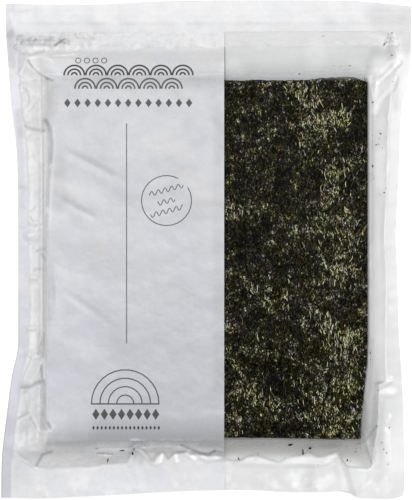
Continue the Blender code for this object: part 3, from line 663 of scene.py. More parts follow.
class Look:
    """A Principled material and the nodes that make its look."""

    def __init__(self, name):
        self.material = bpy.data.materials.new(name)
        self.material.use_nodes = True
        self.nodes = self.material.node_tree.nodes
        self.shader = self.nodes["Principled BSDF"]
        self.coords = self.add("TexCoord").outputs["Object"]

    def put(self, socket, value):
        """Links a socket to another one, or gives it a colour, a vector or a number."""
        if isinstance(value, bpy.types.NodeSocket):
            self.material.node_tree.links.new(value, socket)
        elif hasattr(value, "__len__"):
            socket.default_value = (*value, 1)[:len(socket.default_value)]
        else:
            socket.default_value = value

    def add(self, kind, *inputs, how=None, **named_inputs):
        """A new node, with its inputs in their order or by name."""
        node = self.nodes.new("ShaderNode" + kind)
        if how:
            node.operation = how
        for socket, value in zip(node.inputs, inputs):
            self.put(socket, value)
        for name, value in named_inputs.items():
            self.put(node.inputs[name.replace("_", " ")], value)
        return node

    def surface(self, colour, rough, height=None, depth=0, **more):
        """The finished material: its colour, roughness, and relief from a height of 0 to 1."""
        self.put(self.shader.inputs["Base Color"], colour)
        self.put(self.shader.inputs["Roughness"], rough)
        if height is not None:
            relief = self.add("Bump", Strength=1.0, Distance=depth, Height=height)
            self.put(self.shader.inputs["Normal"], relief.outputs["Normal"])
        for name, value in more.items():
            self.put(self.shader.inputs[name.replace("_", " ")], value)
        return self.material

    def noise(self, size, detail=3.0, rough=0.55, output="Fac"):
        """A noise from 0 to 1 with features of one size in metres."""
        node = self.add("TexNoise", Vector=self.coords, Scale=1 / size, Detail=detail, Roughness=rough)
        return node.outputs[output]

    def flakes(self, coords, shape, turn, size):
        """A random value from 0 to 1 for each flake of one size in metres, stretched and turned."""
        mapped = self.add("Mapping", Vector=coords, Scale=shape, Rotation=(0, 0, turn)).outputs["Vector"]
        cells = self.add("TexVoronoi", Vector=mapped, Scale=1 / size)
        return self.add("SeparateColor", Color=cells.outputs["Color"]).outputs["Red"]

    def tone(self, name="tone"):
        """The values that a mesh's points have under one name."""
        node = self.add("Attribute")
        node.attribute_name = name
        return node.outputs["Fac"]

    def ramp(self, value, *stops):
        """Colours along a value, as pairs of a place and a colour or a grey."""
        node = self.add("ValToRGB", Fac=value)
        band = node.color_ramp
        while len(band.elements) < len(stops):
            band.elements.new(0.5)
        for element, (place, colour) in zip(band.elements, stops):
            element.position = place
            element.color = (*colour, 1) if hasattr(colour, "__len__") else (colour, colour, colour, 1)
        return node.outputs["Color"]

    def mixed(self, first, second, share, how="MIX"):
        node = self.add("Mix")
        node.data_type = "RGBA"
        node.blend_type = how
        node.clamp_factor = False
        for number, value in ((0, share), (6, first), (7, second)):
            self.put(node.inputs[number], value)
        return node.outputs[2]

    def times(self, first, second, share=1.0):
        """One colour multiplied by another, as far as the share says."""
        return self.mixed(first, second, share, "MULTIPLY")

    def scaled(self, value, low, high, new_low, new_high):
        """A value's range moved to a new one."""
        node = self.add("MapRange", Value=value, From_Min=low, From_Max=high, To_Min=new_low, To_Max=new_high)
        return node.outputs["Result"]

    def plus(self, first, second, how="ADD"):
        return self.add("Math", first, second, how=how).outputs["Value"]

    def moved(self, vector, factors, offset):
        """A vector times factors, and then moved by an offset."""
        return self.add("VectorMath", vector, factors, offset, how="MULTIPLY_ADD").outputs["Vector"]

    def tint(self):
        """Patches of brown, green, blue and yellow, around white."""
        return self.moved(self.noise(9 * MM, 5, 0.5, "Color"), (0.5, 0.4, 1.8), (0.75, 0.80, 0.02))


BLACK = (0.0, 0.0, 0.0)
WHITE = (1.0, 1.0, 1.0)
FILM_WHITE = (0.657, 0.658, 0.662)
FILM_COOL = (0.650, 0.660, 0.703)
CLOUD_COOL = (0.945, 0.955, 0.98)
CLOUD_WARM = (1.0, 0.992, 0.99)
BACK_SHADE = (0.13, 0.108, 0.02)
CLEAR_FILM = (0.985, 0.987, 0.99)


def printed_film_material():
    """White satin film: mottled by the dust inside and darkened under the zip by dust and painted shade,
    greyer where the sheets are behind it, and with painted shade and light in its tone.
    """
    look = Look("printed_film")
    white = look.mixed(FILM_WHITE, FILM_COOL, look.tone("cool"))
    white = look.mixed(BLACK, white, look.tone())
    cloud = look.ramp(look.noise(24 * MM, 1.5), (0.3, CLOUD_COOL), (0.7, CLOUD_WARM))
    grain = look.ramp(look.noise(1.3 * MM, 4, 0.7), (0.3, 0.985), (0.65, 1.0))
    dust = look.ramp(look.noise(2.2 * MM, 6, 0.75), (0.34, 0.30), (0.46, 0.82), (0.6, 1.0))
    colour = look.times(look.times(white, cloud), grain)
    # Darker by the seaweed dust and, under the zip, by painted shade.
    colour = look.times(colour, dust, look.tone("dust"))
    rough = look.scaled(look.noise(9 * MM), 0.3, 0.7, 0.22, 0.34)
    return look.surface(colour, rough, look.noise(9 * MM, 2, 0.4), 0.24 * MM)


def back_film_material():
    look = Look("back_film")
    white = look.mixed(BACK_SHADE, FILM_WHITE, look.tone())
    cloud = look.ramp(look.noise(12 * MM, 5), (0.3, 0.95), (0.7, 1.0))
    return look.surface(look.times(white, cloud), 0.4, look.noise(6 * MM, 4), 0.3 * MM)


def clear_film_material():
    """Clear film: the tone says how milky it is, and its slope how much it shines. Where it is milky, its
    white carries painted light and shade.
    """
    look = Look("clear_film")
    cloud = look.ramp(look.noise(12 * MM), (0.3, 0.94), (0.7, 1.0))
    white = look.mixed(BLACK, FILM_WHITE, look.tone("white"))
    material = look.surface(look.times(white, cloud), 0.22, look.noise(6 * MM), 0.15 * MM)
    clear = look.add("BsdfTransparent", Color=CLEAR_FILM)
    milky = look.add("MixShader", look.tone(), clear.outputs["BSDF"], look.shader.outputs["BSDF"])
    shine = look.add("BsdfGlossy", Roughness=0.12)
    sheen = look.add("Fresnel", IOR=1.03)
    film = look.add("MixShader", sheen.outputs["Fac"], milky.outputs["Shader"], shine.outputs["BSDF"])
    look.put(look.nodes["Material Output"].inputs["Surface"], film.outputs["Shader"])
    return material


SEAWEED_NAVY = (0.0075, 0.0075, 0.0105)
SEAWEED_BROWN = (0.016, 0.0115, 0.008)
SEAWEED_YELLOW = (1.01, 1.0, 0.82)
# Seaweed from its black over green and olive to straw and cream; the straw and cream at the light end are
# painted glints
SEAWEED_TONES = (
    (0.0016, 0.0013, 0.0005), (0.0060, 0.0056, 0.0022), (0.0165, 0.0160, 0.0073),
    (0.046, 0.044, 0.025), (0.115, 0.11, 0.070), (0.60, 0.58, 0.41),
)
SHEET_STOPS = (0.10, 0.31, 0.52, 0.70, 0.86, 1.0)
SHRED_STOPS = (0.0, 0.2, 0.4, 0.6, 0.8, 1.0)


def seaweed_material():
    """Dried seaweed: flakes from black over green to olive, in drifts of light and dark, with straw and cream
    flakes as painted glints, more of them and yellower where the tone says the pale shreds gather.
    """
    look = Look("dried_seaweed")
    curved = look.moved(look.noise(6 * MM, 2, 0.5, "Color"), (3 * MM, 3 * MM, 0), look.coords)
    flakes = look.flakes(curved, (1.0, 0.5, 1.0), 0.2, 0.38 * MM)
    slips = look.flakes(curved, (1.0, 0.4, 1.0), -0.35, 0.65 * MM)
    value = look.plus(look.scaled(flakes, 0, 1, -0.16, 0.84), look.scaled(slips, 0, 1, -0.20, 0.20))
    # Lighter where the pale shreds gather: painted glints.
    value = look.plus(value, look.plus(look.tone(), 0.20, "MULTIPLY"))
    for size, amount in ((24 * MM, 0.18), (8 * MM, 0.44), (3 * MM, 0.42)):
        value = look.plus(value, look.scaled(look.noise(size, 2, 0.5), 0.3, 0.7, -amount / 2, amount / 2))
    base = look.ramp(value, *zip(SHEET_STOPS, SEAWEED_TONES))
    hue = look.ramp(look.noise(4 * MM), (0.42, SEAWEED_NAVY), (0.58, SEAWEED_BROWN))
    dull = look.scaled(look.ramp(slips, (0.62, 0.0), (0.7, 1.0)), 0, 1, 0.0, 0.55)
    # Yellower where the pale shreds gather, a painted glint too.
    colour = look.times(look.mixed(base, hue, dull), look.mixed(WHITE, SEAWEED_YELLOW, look.tone()))
    rough = look.scaled(slips, 0, 1, 0.35, 0.65)
    return look.surface(look.times(colour, look.tint()), rough, flakes, 0.12 * MM, Specular_IOR_Level=0.006)


def shred_material():
    """Single shreds and crumbs: the tone runs from black over olive to a glossy cream, whose pale colour is a
    painted glint.
    """
    look = Look("seaweed_shreds")
    value = look.plus(look.tone(), look.scaled(look.noise(0.7 * MM), 0.3, 0.7, -0.12, 0.12))
    colour = look.times(look.ramp(value, *zip(SHRED_STOPS, SEAWEED_TONES)), look.tint(), 0.5)
    return look.surface(colour, 0.35, look.noise(0.5 * MM), 0.05 * MM, Specular_IOR_Level=0.04)


def ink_material():
    look = Look("print_ink")
    patch = look.noise(1.2 * MM, 4)
    return look.surface(look.ramp(patch, (0.3, 0.028), (0.7, 0.040)), 0.45, patch, 0.02 * MM)


def floor_material():
    """A pale table that glows a little, as a light table does."""
    look = Look("table")
    shade = look.ramp(look.noise(60 * MM), (0.2, 0.93), (0.8, 0.945))
    return look.surface(shade, 0.8, Emission_Color=WHITE, Emission_Strength=0.25)


# The films

def film_points(film, heights):
    return np.stack([film.x, film.y, heights], axis=2)


# How white the printed film looks down the page, as pixel rows and shares: greyer where the sheets show
# through it, with painted shade along the sheets' upper and lower edges
PAGE_TONES = (
    (0, 0.87), (13, 0.85), (16, 0.84), (21, 0.84), (24, 0.8), (31, 0.78), (34, 0.78), (46, 0.78),
    (48, 0.82), (50, 0.83), (53, 0.79), (70, 0.81), (72, 0.79), (73, 0.74), (74, 0.77), (75, 0.84),
    (76, 0.71), (77, 0.5), (79, 0.46), (84, 0.52), (90, 0.595), (98, 0.64), (110, 0.655), (180, 0.73),
    (290, 0.68), (400, 0.64), (415, 0.64), (417, 0.66), (426, 0.62), (432, 0.57), (437, 0.53), (439, 0.5),
    (440, 0.54), (441, 0.6), (443, 0.62), (446, 0.71), (448, 0.8), (450, 0.83), (452, 0.8), (455, 0.76),
    (458, 0.8), (461, 0.88), (464, 0.95),
)


# Where the printed film's tones change, as the rows between which each one comes or goes. The three bands,
# the wall and the puff are painted lighter: painted light. A band has its low and high rows, and how soft it
# is in millimetres
SHADE_COMES = (100, 130)
LOWER_LEFT_BAND = (436, 370, 4)
UPPER_LEFT_BAND = (84, 60, 1.5)
SHEETS_END_BAND = (446, 442, 1)
OVER_SHEETS, UNDER_SHEETS = (50, 46), (446, 456)
WALL_COMES, WALL_GOES = (80, 90), (410, 390)
PUFF_COMES = (76, 88)


def printed_tone(film):
    """How white the printed film looks: greyer over the sheets, and by its creases and dust, with painted
    shade and light at the sheets' edges, in the creases, on the stack's left wall, the puffed strip and the
    cut edge.
    """
    row = row_of(film.y)
    page = read_line(PAGE_TONES, row)
    side = 0.86 - 0.08 * smooth(8 * MM, 5 * MM, film.left)
    far_left = smooth(-60 * MM, -85 * MM, film.x)
    page -= 0.04 * (1 - far_left) * smooth(*SHADE_COMES, row)
    # Lighter bands at the far left and at the sheets' lower end: painted light.
    bands = 0.07 * band_between(film.y, *LOWER_LEFT_BAND) + 0.09 * band_between(film.y, *UPPER_LEFT_BAND)
    page += far_left * bands
    page += 0.05 * (1 - far_left) * band_between(film.y, *SHEETS_END_BAND)
    over = smooth(-3.5 * MM, -1 * MM, film.x - STACK_LEFT)
    inner = np.maximum(smooth(*OVER_SHEETS, row), smooth(*UNDER_SHEETS, row))
    inner = inner * smooth(5.5 * MM, 6.2 * MM, film.left)
    # The puffed strip is painted a little lighter: painted light.
    tone = side + (page - side) * np.maximum(over, inner) + 0.03 * band_of_puff(film)
    met = smooth(0.06, 0.0, film.shares[2]) * smooth(SIDE_SEAL, SIDE_SEAL + 2 * MM, film.left)
    seal = 0.90 + 0.06 * smooth(1.0, 0.1, film.bottom / BOTTOM_SEAL)
    tone += (seal - tone) * met
    # The steep film at the stack's left wall is painted lighter: painted light.
    wall = smooth(0.80, 0.90, film.shares[0]) * smooth(1.08, 0.96, film.shares[0])
    tone += 0.13 * wall * smooth(*WALL_COMES, row) * smooth(*WALL_GOES, row)
    # Darker along the cut edge of the film's lower half: painted shade.
    cut_edge = smooth(0.9 * MM, 0.3 * MM, film.left) * smooth(0.55, 0.35, film.v)
    return np.maximum(tone + film.shades - 0.16 * cut_edge, 0.1)


# How bluish the printed film looks down the page, as pixel rows and shares
PAGE_COOLNESS = ((60, 0), (90, 0.5), (250, 0.6), (400, 1.0), (436, 0.7), (444, 0), (462, 0), (480, 0.3))


def coolness(film):
    """How bluish the printed film looks: most towards its lower end and in the left seal."""
    down_page = read_line(PAGE_COOLNESS, row_of(film.y))
    in_seal = 0.65 * smooth(9 * MM, 5 * MM, film.left)
    puff = smooth(0, -2 * MM, film.x - STACK_LEFT) * (1 - in_seal)
    return np.maximum(down_page * (1 - puff), in_seal)


def band_of_puff(film):
    """The puffed strip between the left seal and the stack."""
    strip = smooth(6 * MM, 8 * MM, film.left) * smooth(-9 * MM, -12 * MM, film.x - STACK_LEFT)
    return strip * smooth(*PUFF_COMES, row_of(film.y))


def band_between(y, low_pixel, high_pixel, soft):
    """1 between two heights given in pixels, and 0 outside them, with soft edges in millimetres."""
    low, high = y_of(low_pixel), y_of(high_pixel)
    return smooth(low - soft * MM, low, y) * (1 - smooth(high, high + soft * MM, y))


# How milky the clear film looks over the sheets' upper end, and beside the sheets, as pixel rows and shares
HEADER_MILK = ((32, 0.75), (44, 0.7), (49, 0.45), (70, 0.35), (78, 0.15))
MARGIN_MILK = ((45, 0), (62, 1), (345, 1), (410, 0.6), (438, 0.4), (450, 0.75))
# The rows between which the clear film over the sheets, the joint of the films, the header, the pocket under
# the sheets and its veil come or go
CLEAR_COMES, JOINT_COMES, HEADER_GOES = (74, 82), (40, 60), (86, 76)
POCKET_COMES = (440, 452)
VEIL_COMES, VEIL_GOES = (437, 442), (458, 447)


def window_milk(film):
    """How milky the clear film looks: clear on the sheets, white where the films meet or crease."""
    row = row_of(film.y)
    past = film.x - sheet_right(film.y)
    in_pocket = smooth(*POCKET_COMES, row)
    edge = (0.4 + 5 * in_pocket) * MM
    on_sheets = smooth(edge, -edge, past) * smooth(0.0, 0.1, film.shares[2]) * smooth(*CLEAR_COMES, row)
    fused = smooth(0.12, 0.02, film.inside) * smooth(*JOINT_COMES, row)
    header = read_line(HEADER_MILK, row)
    down_page = read_line(MARGIN_MILK, row)
    slope = (0.82 + 0.12 * smooth(0, 6 * MM, past)) * down_page
    soft = 5 * MM * (smooth(*HEADER_GOES, row) + in_pocket)
    nearer_right = smooth(0.0, 0.2, film.shares[2] - film.shares[1])
    slope *= smooth(-0.5 * MM - soft, 0.6 * MM + soft, past) * nearer_right
    creased = 0.45 * smooth(0.5 * MM, 2.5 * MM, film.folds) + np.abs(film.shades)
    veil = 0.2 * smooth(*VEIL_COMES, row) * smooth(*VEIL_GOES, row)
    free = np.max([header, 0.9 * fused, slope, creased], axis=0)
    return np.clip(np.maximum(free * (1 - on_sheets), veil), 0, 0.95)


# How much whiter the clear film is in the header and down the right side, as pixel rows and changes: painted
# light, and down the right side some painted shade where a change is below 0
HEADER_WHITE = ((42, 0), (44, -0.05), (46, 0), (49, 0.24), (62, 0.19), (68, 0.06), (74, 0))
RIGHT_TONES = (
    (30, 0.04), (52, 0.03), (62, -0.04), (84, 0.06), (110, -0.01), (160, -0.02), (240, 0), (330, 0.05),
    (400, 0.2), (440, 0.29), (466, 0.24), (490, 0.1),
)


# The rows between which the painted lighter and darker parts come or go, and the columns where the header's
# end
FACETS_GO = (465, 463)
BESIDE_COMES, BESIDE_GOES = (80, 88), (446, 436)
LOWER_SEAL_COMES, ZIP_COMES = (440, 475), (48, 45)
HEADER_GOES_ACROSS = (364, 376)
SLANT_COMES = (390, 405)
RIM_COMES = (84, 96)


def window_white_and_painted_light(film):
    """How white the clear film looks where it is milky: a little darker just below where the films meet, with
    painted shade just past the top sheet's right edge, painted light at the foot of its walls, in the header
    and down the right side, and the creases' painted shade and light.
    """
    row = row_of(film.y)
    below = fused_bottom(film.x) - film.y
    # A little darker just below where the films meet.
    facets = 0.05 * smooth(-0.5 * MM, 0.3 * MM, below) * smooth(*FACETS_GO, row)
    past = film.x - sheet_right(film.y)
    # Painted shade on the film just past the top sheet's right edge.
    beside = smooth(5 * MM, 0.0, past) * smooth(-2 * MM, -1 * MM, past)
    beside = beside * smooth(*BESIDE_COMES, row) * smooth(*BESIDE_GOES, row)
    seal = 0.07 * smooth(*LOWER_SEAL_COMES, row) - 0.09 * smooth(*ZIP_COMES, row)
    # The header's painted light.
    seal += read_line(HEADER_WHITE, row) * (1 - 0.8 * smooth(*map(x_of, HEADER_GOES_ACROSS), film.x))
    # Painted light and shade down the right side.
    further = 2.5 * MM * smooth(*SLANT_COMES, row)
    right = smooth(STACK_RIGHT + 4 * MM + further, STACK_RIGHT + 8 * MM + further, film.x)
    seal += right * (read_line(RIGHT_TONES, row) + 0.06 * smooth(0.0, 0.1, film.shares[1]) - 0.02)
    # Painted light at the foot of the film's walls, over their shading.
    rim = smooth(0.0, 0.03, film.inside) * smooth(0.14, 0.06, film.inside) * smooth(*RIM_COMES, row)
    return np.clip(0.97 - facets + seal + 0.22 * rim - 0.45 * beside + film.shades, 0.2, 1.4)


# The rows between which the pocket's shade comes and goes, and the columns past which it goes later
SHADOW_COMES, SHADOW_GOES = (434, 442), (466, 448)
SHADOW_LASTS = (336, 346)


def back_tone(film):
    """The inside of the back film, shaded in the pocket under the sheets."""
    row = row_of(film.y)
    later = 6 * smooth(*map(x_of, SHADOW_LASTS), film.x)
    return 1.0 - 0.33 * smooth(*SHADOW_COMES, row) * smooth(*SHADOW_GOES, row - later)


# Seaweed dust and painted shade under the zip: the columns between which they come, and their corner and
# their thick part go, and their bands of rows
DUST_AND_SHADE_COMES, CORNER_GOES, THICK_GOES = (15, 18), (112, 56), (56, 50)
DUST_AND_SHADE_BAND, THICK_BAND = (47, 33, 1.0), (42.4, 37.5, 1.0)


def dust_and_shade_amount(film):
    """Seaweed dust gathers under the zip, most of all in the corner; its thick band also stands for the shade
    of the fold there, so it is dust and painted shade.
    """
    px = column_of(film.x)
    begun = smooth(*DUST_AND_SHADE_COMES, px)
    corner = begun * smooth(*CORNER_GOES, px)
    thick = begun * smooth(*THICK_GOES, px) * band_between(film.y, *THICK_BAND)
    dust = 0.1 + (0.2 + 0.35 * corner) * band_between(film.y, *DUST_AND_SHADE_BAND) + 0.8 * thick
    return np.minimum(dust, 0.95)


def calm_cells(film):
    """Cells of the grid where the film lies flat and plain over the sheets."""
    row = row_of(film.y)
    calm = (film.on_stack >= 1) & (film.folds == 0) & (film.shades == 0)
    calm &= (row > CALM_ROWS[0]) & (row < CALM_ROWS[1])
    calm &= (film.x > STACK_LEFT + CALM_LEFT) & (film.x < STACK_RIGHT - CALM_RIGHT)
    return calm[:-1, :-1] & calm[1:, :-1] & calm[1:, 1:] & calm[:-1, 1:]


def make_films():
    film = Film(FRONT_COLUMNS, FRONT_ROWS)
    points = film_points(film, film.front())
    calm = calm_cells(film)
    clear = (film.i[:-1, :-1] >= sum(FRONT_COLUMNS[:2])) & (film.j[:-1, :-1] < sum(FRONT_ROWS[:3]))
    faces = grid_faces(~clear, calm)
    window_faces = grid_faces(clear, calm)
    printed = shell(
        "film_printed", points, faces, FILM_THICK, printed_film_material(),
        tone=printed_tone(film), dust=dust_and_shade_amount(film), cool=coolness(film),
    )
    window = shell(
        "film_window", points, window_faces, FILM_THICK, clear_film_material(),
        tone=window_milk(film), white=window_white_and_painted_light(film),
    )
    behind = Film(BACK_COLUMNS, BACK_ROWS)
    back_points = film_points(behind, behind.back() + FILM_THICK)
    back_faces = whole_grid_faces(back_points)
    back = shell(
        "film_back", back_points, back_faces, FILM_THICK, back_film_material(), tone=back_tone(behind),
    )
    for piece in (printed, window, back):
        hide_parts("pouch")
        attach(piece, "root")
    return BVHTree.FromPolygons(points.reshape(-1, 3).tolist(), faces + window_faces)


def whole_grid_faces(points):
    every = np.ones((points.shape[0] - 1, points.shape[1] - 1), bool)
    return grid_faces(every, ~every)


def height_on(tree, x, y):
    hit = tree.ray_cast(Vector((x, y, 0.2)), Vector((0, 0, -1)))
    return hit[0].z if hit[0] else 0.0


# The print, as thin raised strokes that follow the film

PRINT_LIFT = 0.07 * MM
PRINT_THICK = 0.04 * MM
STROKE_STEP = 0.9 * MM


class Strokes:
    """Collects flat strokes, laid on the film, into one mesh."""

    def __init__(self, tree):
        self.tree = tree
        self.verts, self.faces = [], []

    def line(self, pixels, width, closed=False):
        """A stroke through pixels of the photograph, of one width in millimetres."""
        points = [Vector((*at(*pixel), 0)) for pixel in pixels]
        points = thickened_path(points, closed)
        half = width * MM / 2
        first = len(self.verts)
        count = len(points)
        for k, point in enumerate(points):
            before = points[k - 1] if closed or k else points[0]
            after = points[(k + 1) % count] if closed or k < count - 1 else points[-1]
            along = (after - before).normalized()
            across = Vector((-along.y, along.x, 0)) * half
            for side in (point + across, point - across):
                z = height_on(self.tree, side.x, side.y) + PRINT_LIFT
                self.verts.append((side.x, side.y, z))
                self.verts.append((side.x, side.y, z - PRINT_THICK))
        self.faces += bar_faces(first, count, closed)

    def arc(self, centre, radius, start, end, width):
        """Part of a circle, in pixels and degrees, counted from the right and upwards."""
        steps = max(6, int(abs(end - start) / 12))
        angles = [math.radians(start + (end - start) * k / steps) for k in range(steps + 1)]
        ring = [(centre[0] + radius * math.cos(a), centre[1] - radius * math.sin(a)) for a in angles]
        closed = abs(end - start) >= 360
        self.line(ring[:-1] if closed else ring, width, closed)

    def spot(self, centre, half_width, half_height):
        """A filled rhombus in pixels."""
        x, y = centre
        corners = [(x - half_width, y), (x, y + half_height), (x + half_width, y), (x, y - half_height)]
        self.faces += slab_faces(len(self.verts), len(corners))
        for lift in (PRINT_LIFT - PRINT_THICK, PRINT_LIFT):
            for place in (at(*corner) for corner in corners):
                self.verts.append((*place, height_on(self.tree, *place) + lift))


def thickened_path(points, closed):
    """The same path with a point at least every step."""
    result = []
    ends = points[1:] + ([points[0]] if closed else [])
    for start, end in zip(points, ends):
        steps = max(1, math.ceil((end - start).length / STROKE_STEP))
        result += [start.lerp(end, k / steps) for k in range(steps)]
    if not closed:
        result.append(points[-1])
    return result


# What is printed, in pixels of the photograph, with the strokes' widths in millimetres

# Rows of nested half rings, the traditional wave pattern: where they start, end and stand
WAVE_ROWS = ((64, 193, 76.0), (74.8, 182.4, 89.5))
WAVE_RADIUS = 10.8
WAVE_SHARES = (1.0, 0.62, 0.26)
WAVE_WIDTH = 1.0
# Four small rings
SMALL_RING, SMALL_RING_STEP, SMALL_RING_RADIUS, SMALL_RING_WIDTH = (78.5, 60.8), 8.6, 2.6, 0.45
# The open ring, and the wavy lines in it, as rows and half lengths
RING, RING_RADIUS, RING_OPEN, RING_WIDTH = (166.7, 200.8), 24.9, (62, 392), 0.55
RING_WAVES = ((190, 17), (201.5, 9), (211.5, 16))
# The nested arcs near the lower end
NEST, NEST_RADII, NEST_WIDTH = (125.6, 402.8), (8.4, 16.8, 25.2, 33.6), 0.7
# Rows of rhombuses: the first one's middle, the step, how many, and half their width and height
RHOMBUS_ROWS = (
    ((68, 103.6), 10.1, 13, 3.2, 4.3), ((96.4, 413.5), 8.5, 8, 3.6, 5.6), ((94, 427), 4.06, 17, 1.3, 2.2),
)
# Straight lines as widths and ways: the upright one, the nest's foot, and those along the window's edges
LINES = (
    (0.5, (127, 124), (127, 343)), (0.8, (91.5, 403.2), (159.7, 403.2)),
    (0.07, (224.8, 32), (224.8, 47)), (0.34, (224.9, 47), (224.9, 62), (224.9, 80)),
    (0.05, (225.2, 440), (225.2, 489)), (0.06, (224, 31.8), (383, 31.4)),
)


def print_waves(strokes):
    for left, right, base in WAVE_ROWS:
        for k in range(round((right - left) / (2 * WAVE_RADIUS))):
            x = left + WAVE_RADIUS * (2 * k + 1)
            for share in WAVE_SHARES:
                strokes.arc((x, base), WAVE_RADIUS * share * 0.94, 0, 180, WAVE_WIDTH)


def print_ring(strokes):
    strokes.arc(RING, RING_RADIUS, *RING_OPEN, RING_WIDTH)
    for k, (low, half) in enumerate(RING_WAVES):
        reach = np.arange(-half, half + 0.1, 0.8)
        wave = [(RING[0] + t, low - 0.27 * t + 2.4 * math.sin(t * 0.95 + k)) for t in reach]
        strokes.line(wave, 0.5)


def make_print(tree):
    strokes = Strokes(tree)
    print_waves(strokes)
    print_ring(strokes)
    for k in range(4):
        place = (SMALL_RING[0] + SMALL_RING_STEP * k, SMALL_RING[1])
        strokes.arc(place, SMALL_RING_RADIUS, 0, 360, SMALL_RING_WIDTH)
    for radius in NEST_RADII:
        strokes.arc(NEST, radius, 0, 180, NEST_WIDTH)
    for (x, y), step, count, half_width, half_height in RHOMBUS_ROWS:
        for k in range(count):
            strokes.spot((x + step * k, y), half_width, half_height)
    for width, *way in LINES:
        strokes.line(way, width)
    piece = link_mesh("print_marks", strokes.verts, strokes.faces, ink_material(), smooth_shade=False)
    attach(piece, "root")


# The seaweed

SHEETS = 49
SHEET_RAGGED = 0.35 * MM
SHEET_SHARE = 0.62
EDGE_STEP = 3 * MM
TOP_EDGE_LINE = (
    (0, -1.5), (0.5, -2.3), (0.544, -2.2), (0.6, -1.4), (0.666, -0.5), (0.695, -1.9), (0.74, -1),
    (0.8, -0.9), (0.84, 0.4), (0.875, 0.6), (0.905, 1.1), (0.943, 1.4), (1, 1.2),
)
CORNER_CUT = 4.0 * MM
# The topmost sheet's columns under the print and in the window, and its rows
TOP_SHEET_GRID = (14, 126, 288)
RIGHT_EDGE_LINE = (
    (80, 0.9), (340, 0.9), (352, 1.2), (365, 1.5), (380, 2.5), (395, 3.5), (408, 4.4), (430, 5.6), (440, 5.8),
)
BOTTOM_EDGE_LINE = ((0, 0.9), (0.5, 1.4), (0.65, 0.6), (0.8, -0.2), (0.92, -0.9), (1, -0.6))


def sheet_right(y):
    """The topmost sheet's right edge, which goes in towards its lower end."""
    return STACK_RIGHT - read_line(RIGHT_EDGE_LINE, row_of(y)) * MM


def stack_height(x, y):
    """How high the topmost sheet lies."""
    return STACK_TOP_Z - 0.15 * MM - droop_at(y) + 0.16 * MM * noise_over(x, y, 30 * MM, 21.0)


def sheet_sides(y, height, ragged, seed):
    wobble = ragged * noise_over(y, np.zeros(y.shape), 2.4 * MM, seed)
    more = ragged * noise_over(y, np.zeros(y.shape), 2.4 * MM, seed + 0.5)
    return STACK_LEFT + wobble, sheet_right(y) + 0.3 * (1 - height) * slant_at(y, height) + more


def sheet_ends(share, height, ragged, seed):
    x = share * SHEET_WIDTH
    low = STACK_BOTTOM + height * curve_through(BOTTOM_EDGE_LINE, share) * MM
    high = STACK_TOP + height * curve_through(TOP_EDGE_LINE, share) * MM
    high = high - CORNER_CUT * smooth(0.945, 1.02, share)
    low = low + ragged * noise_over(x, np.zeros(x.shape), 2.4 * MM, seed + 1)
    return low, high + ragged * noise_over(x, np.zeros(x.shape), 2.0 * MM, seed + 1.5)


def sheet_places(u, v, height, ragged, seed):
    """Plan places on a sheet from its shares across and up."""
    low, high = sheet_ends(u, height, ragged, seed)
    y = low + (high - low) * v
    left, right = sheet_sides(y, height, ragged, seed)
    return left + (right - left) * u, y


def make_sheets(material):
    """All the sheets but the top one, as thin slabs with ragged edges."""
    across, up = round(SHEET_WIDTH / EDGE_STEP), round(STACK_LENGTH / EDGE_STEP)
    rightwards, upwards = np.arange(across) / across, np.arange(up) / up
    u = np.concatenate([rightwards, np.ones(up), 1 - rightwards, np.zeros(up)])
    v = np.concatenate([np.zeros(across), upwards, np.ones(across), 1 - upwards])
    verts, faces = [], []
    pitch = (STACK_TOP_Z - STACK_BASE_Z - 0.5 * MM) / SHEETS
    for k in range(SHEETS):
        height = k / SHEETS
        x, y = sheet_places(u, v, height, 1.4 * SHEET_RAGGED, 30.0 + 3 * k)
        x = x + random.uniform(-0.3, 0.1) * MM
        y = y + random.uniform(-0.3, 0.3) * MM
        base = STACK_BASE_Z + pitch * k
        faces += slab_faces(len(verts), len(u))
        for z in (base, base + pitch * SHEET_SHARE):
            lowered = z - droop_at(y) * height
            verts += np.stack([x, y, lowered], axis=1).tolist()
    piece = link_mesh("seaweed_sheets", verts, faces, material, smooth_shade=False)
    finish_seaweed(piece)


def finish_seaweed(piece):
    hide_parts("seaweed_stack")
    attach(piece, "root")


def make_top_sheet(material):
    """The topmost sheet, with a fine relief where the window shows it."""
    coarse, fine, rows = TOP_SHEET_GRID
    window_share = (WINDOW_LEFT - 2 * MM - STACK_LEFT) / SHEET_WIDTH
    columns = np.concatenate([
        np.linspace(0, window_share, coarse, endpoint=False), np.linspace(window_share, 1, fine),
    ])
    u, v = np.meshgrid(columns, np.linspace(0, 1, rows), indexing="ij")
    x, y = sheet_places(u, v, 1.0, SHEET_RAGGED, 25.0)
    relief = 0.10 * noise_over(x * 1.5, y * 0.8, 1.6 * MM, 27.0) + 0.08 * noise_over(x, y, 4 * MM, 28.0)
    z = stack_height(x, y) + relief * MM
    points = np.stack([x, y, z], axis=2)
    faces = whole_grid_faces(points)
    # Painted glint: the sheet is lighter and yellower where the pale shreds gather.
    light = cluster_draw(column_of(x), row_of(y)) - 0.1
    piece = shell("seaweed_top_sheet", points, faces, 0.12 * MM, material, tone=light)
    finish_seaweed(piece)
    return BVHTree.FromPolygons(points.reshape(-1, 3).tolist(), faces)


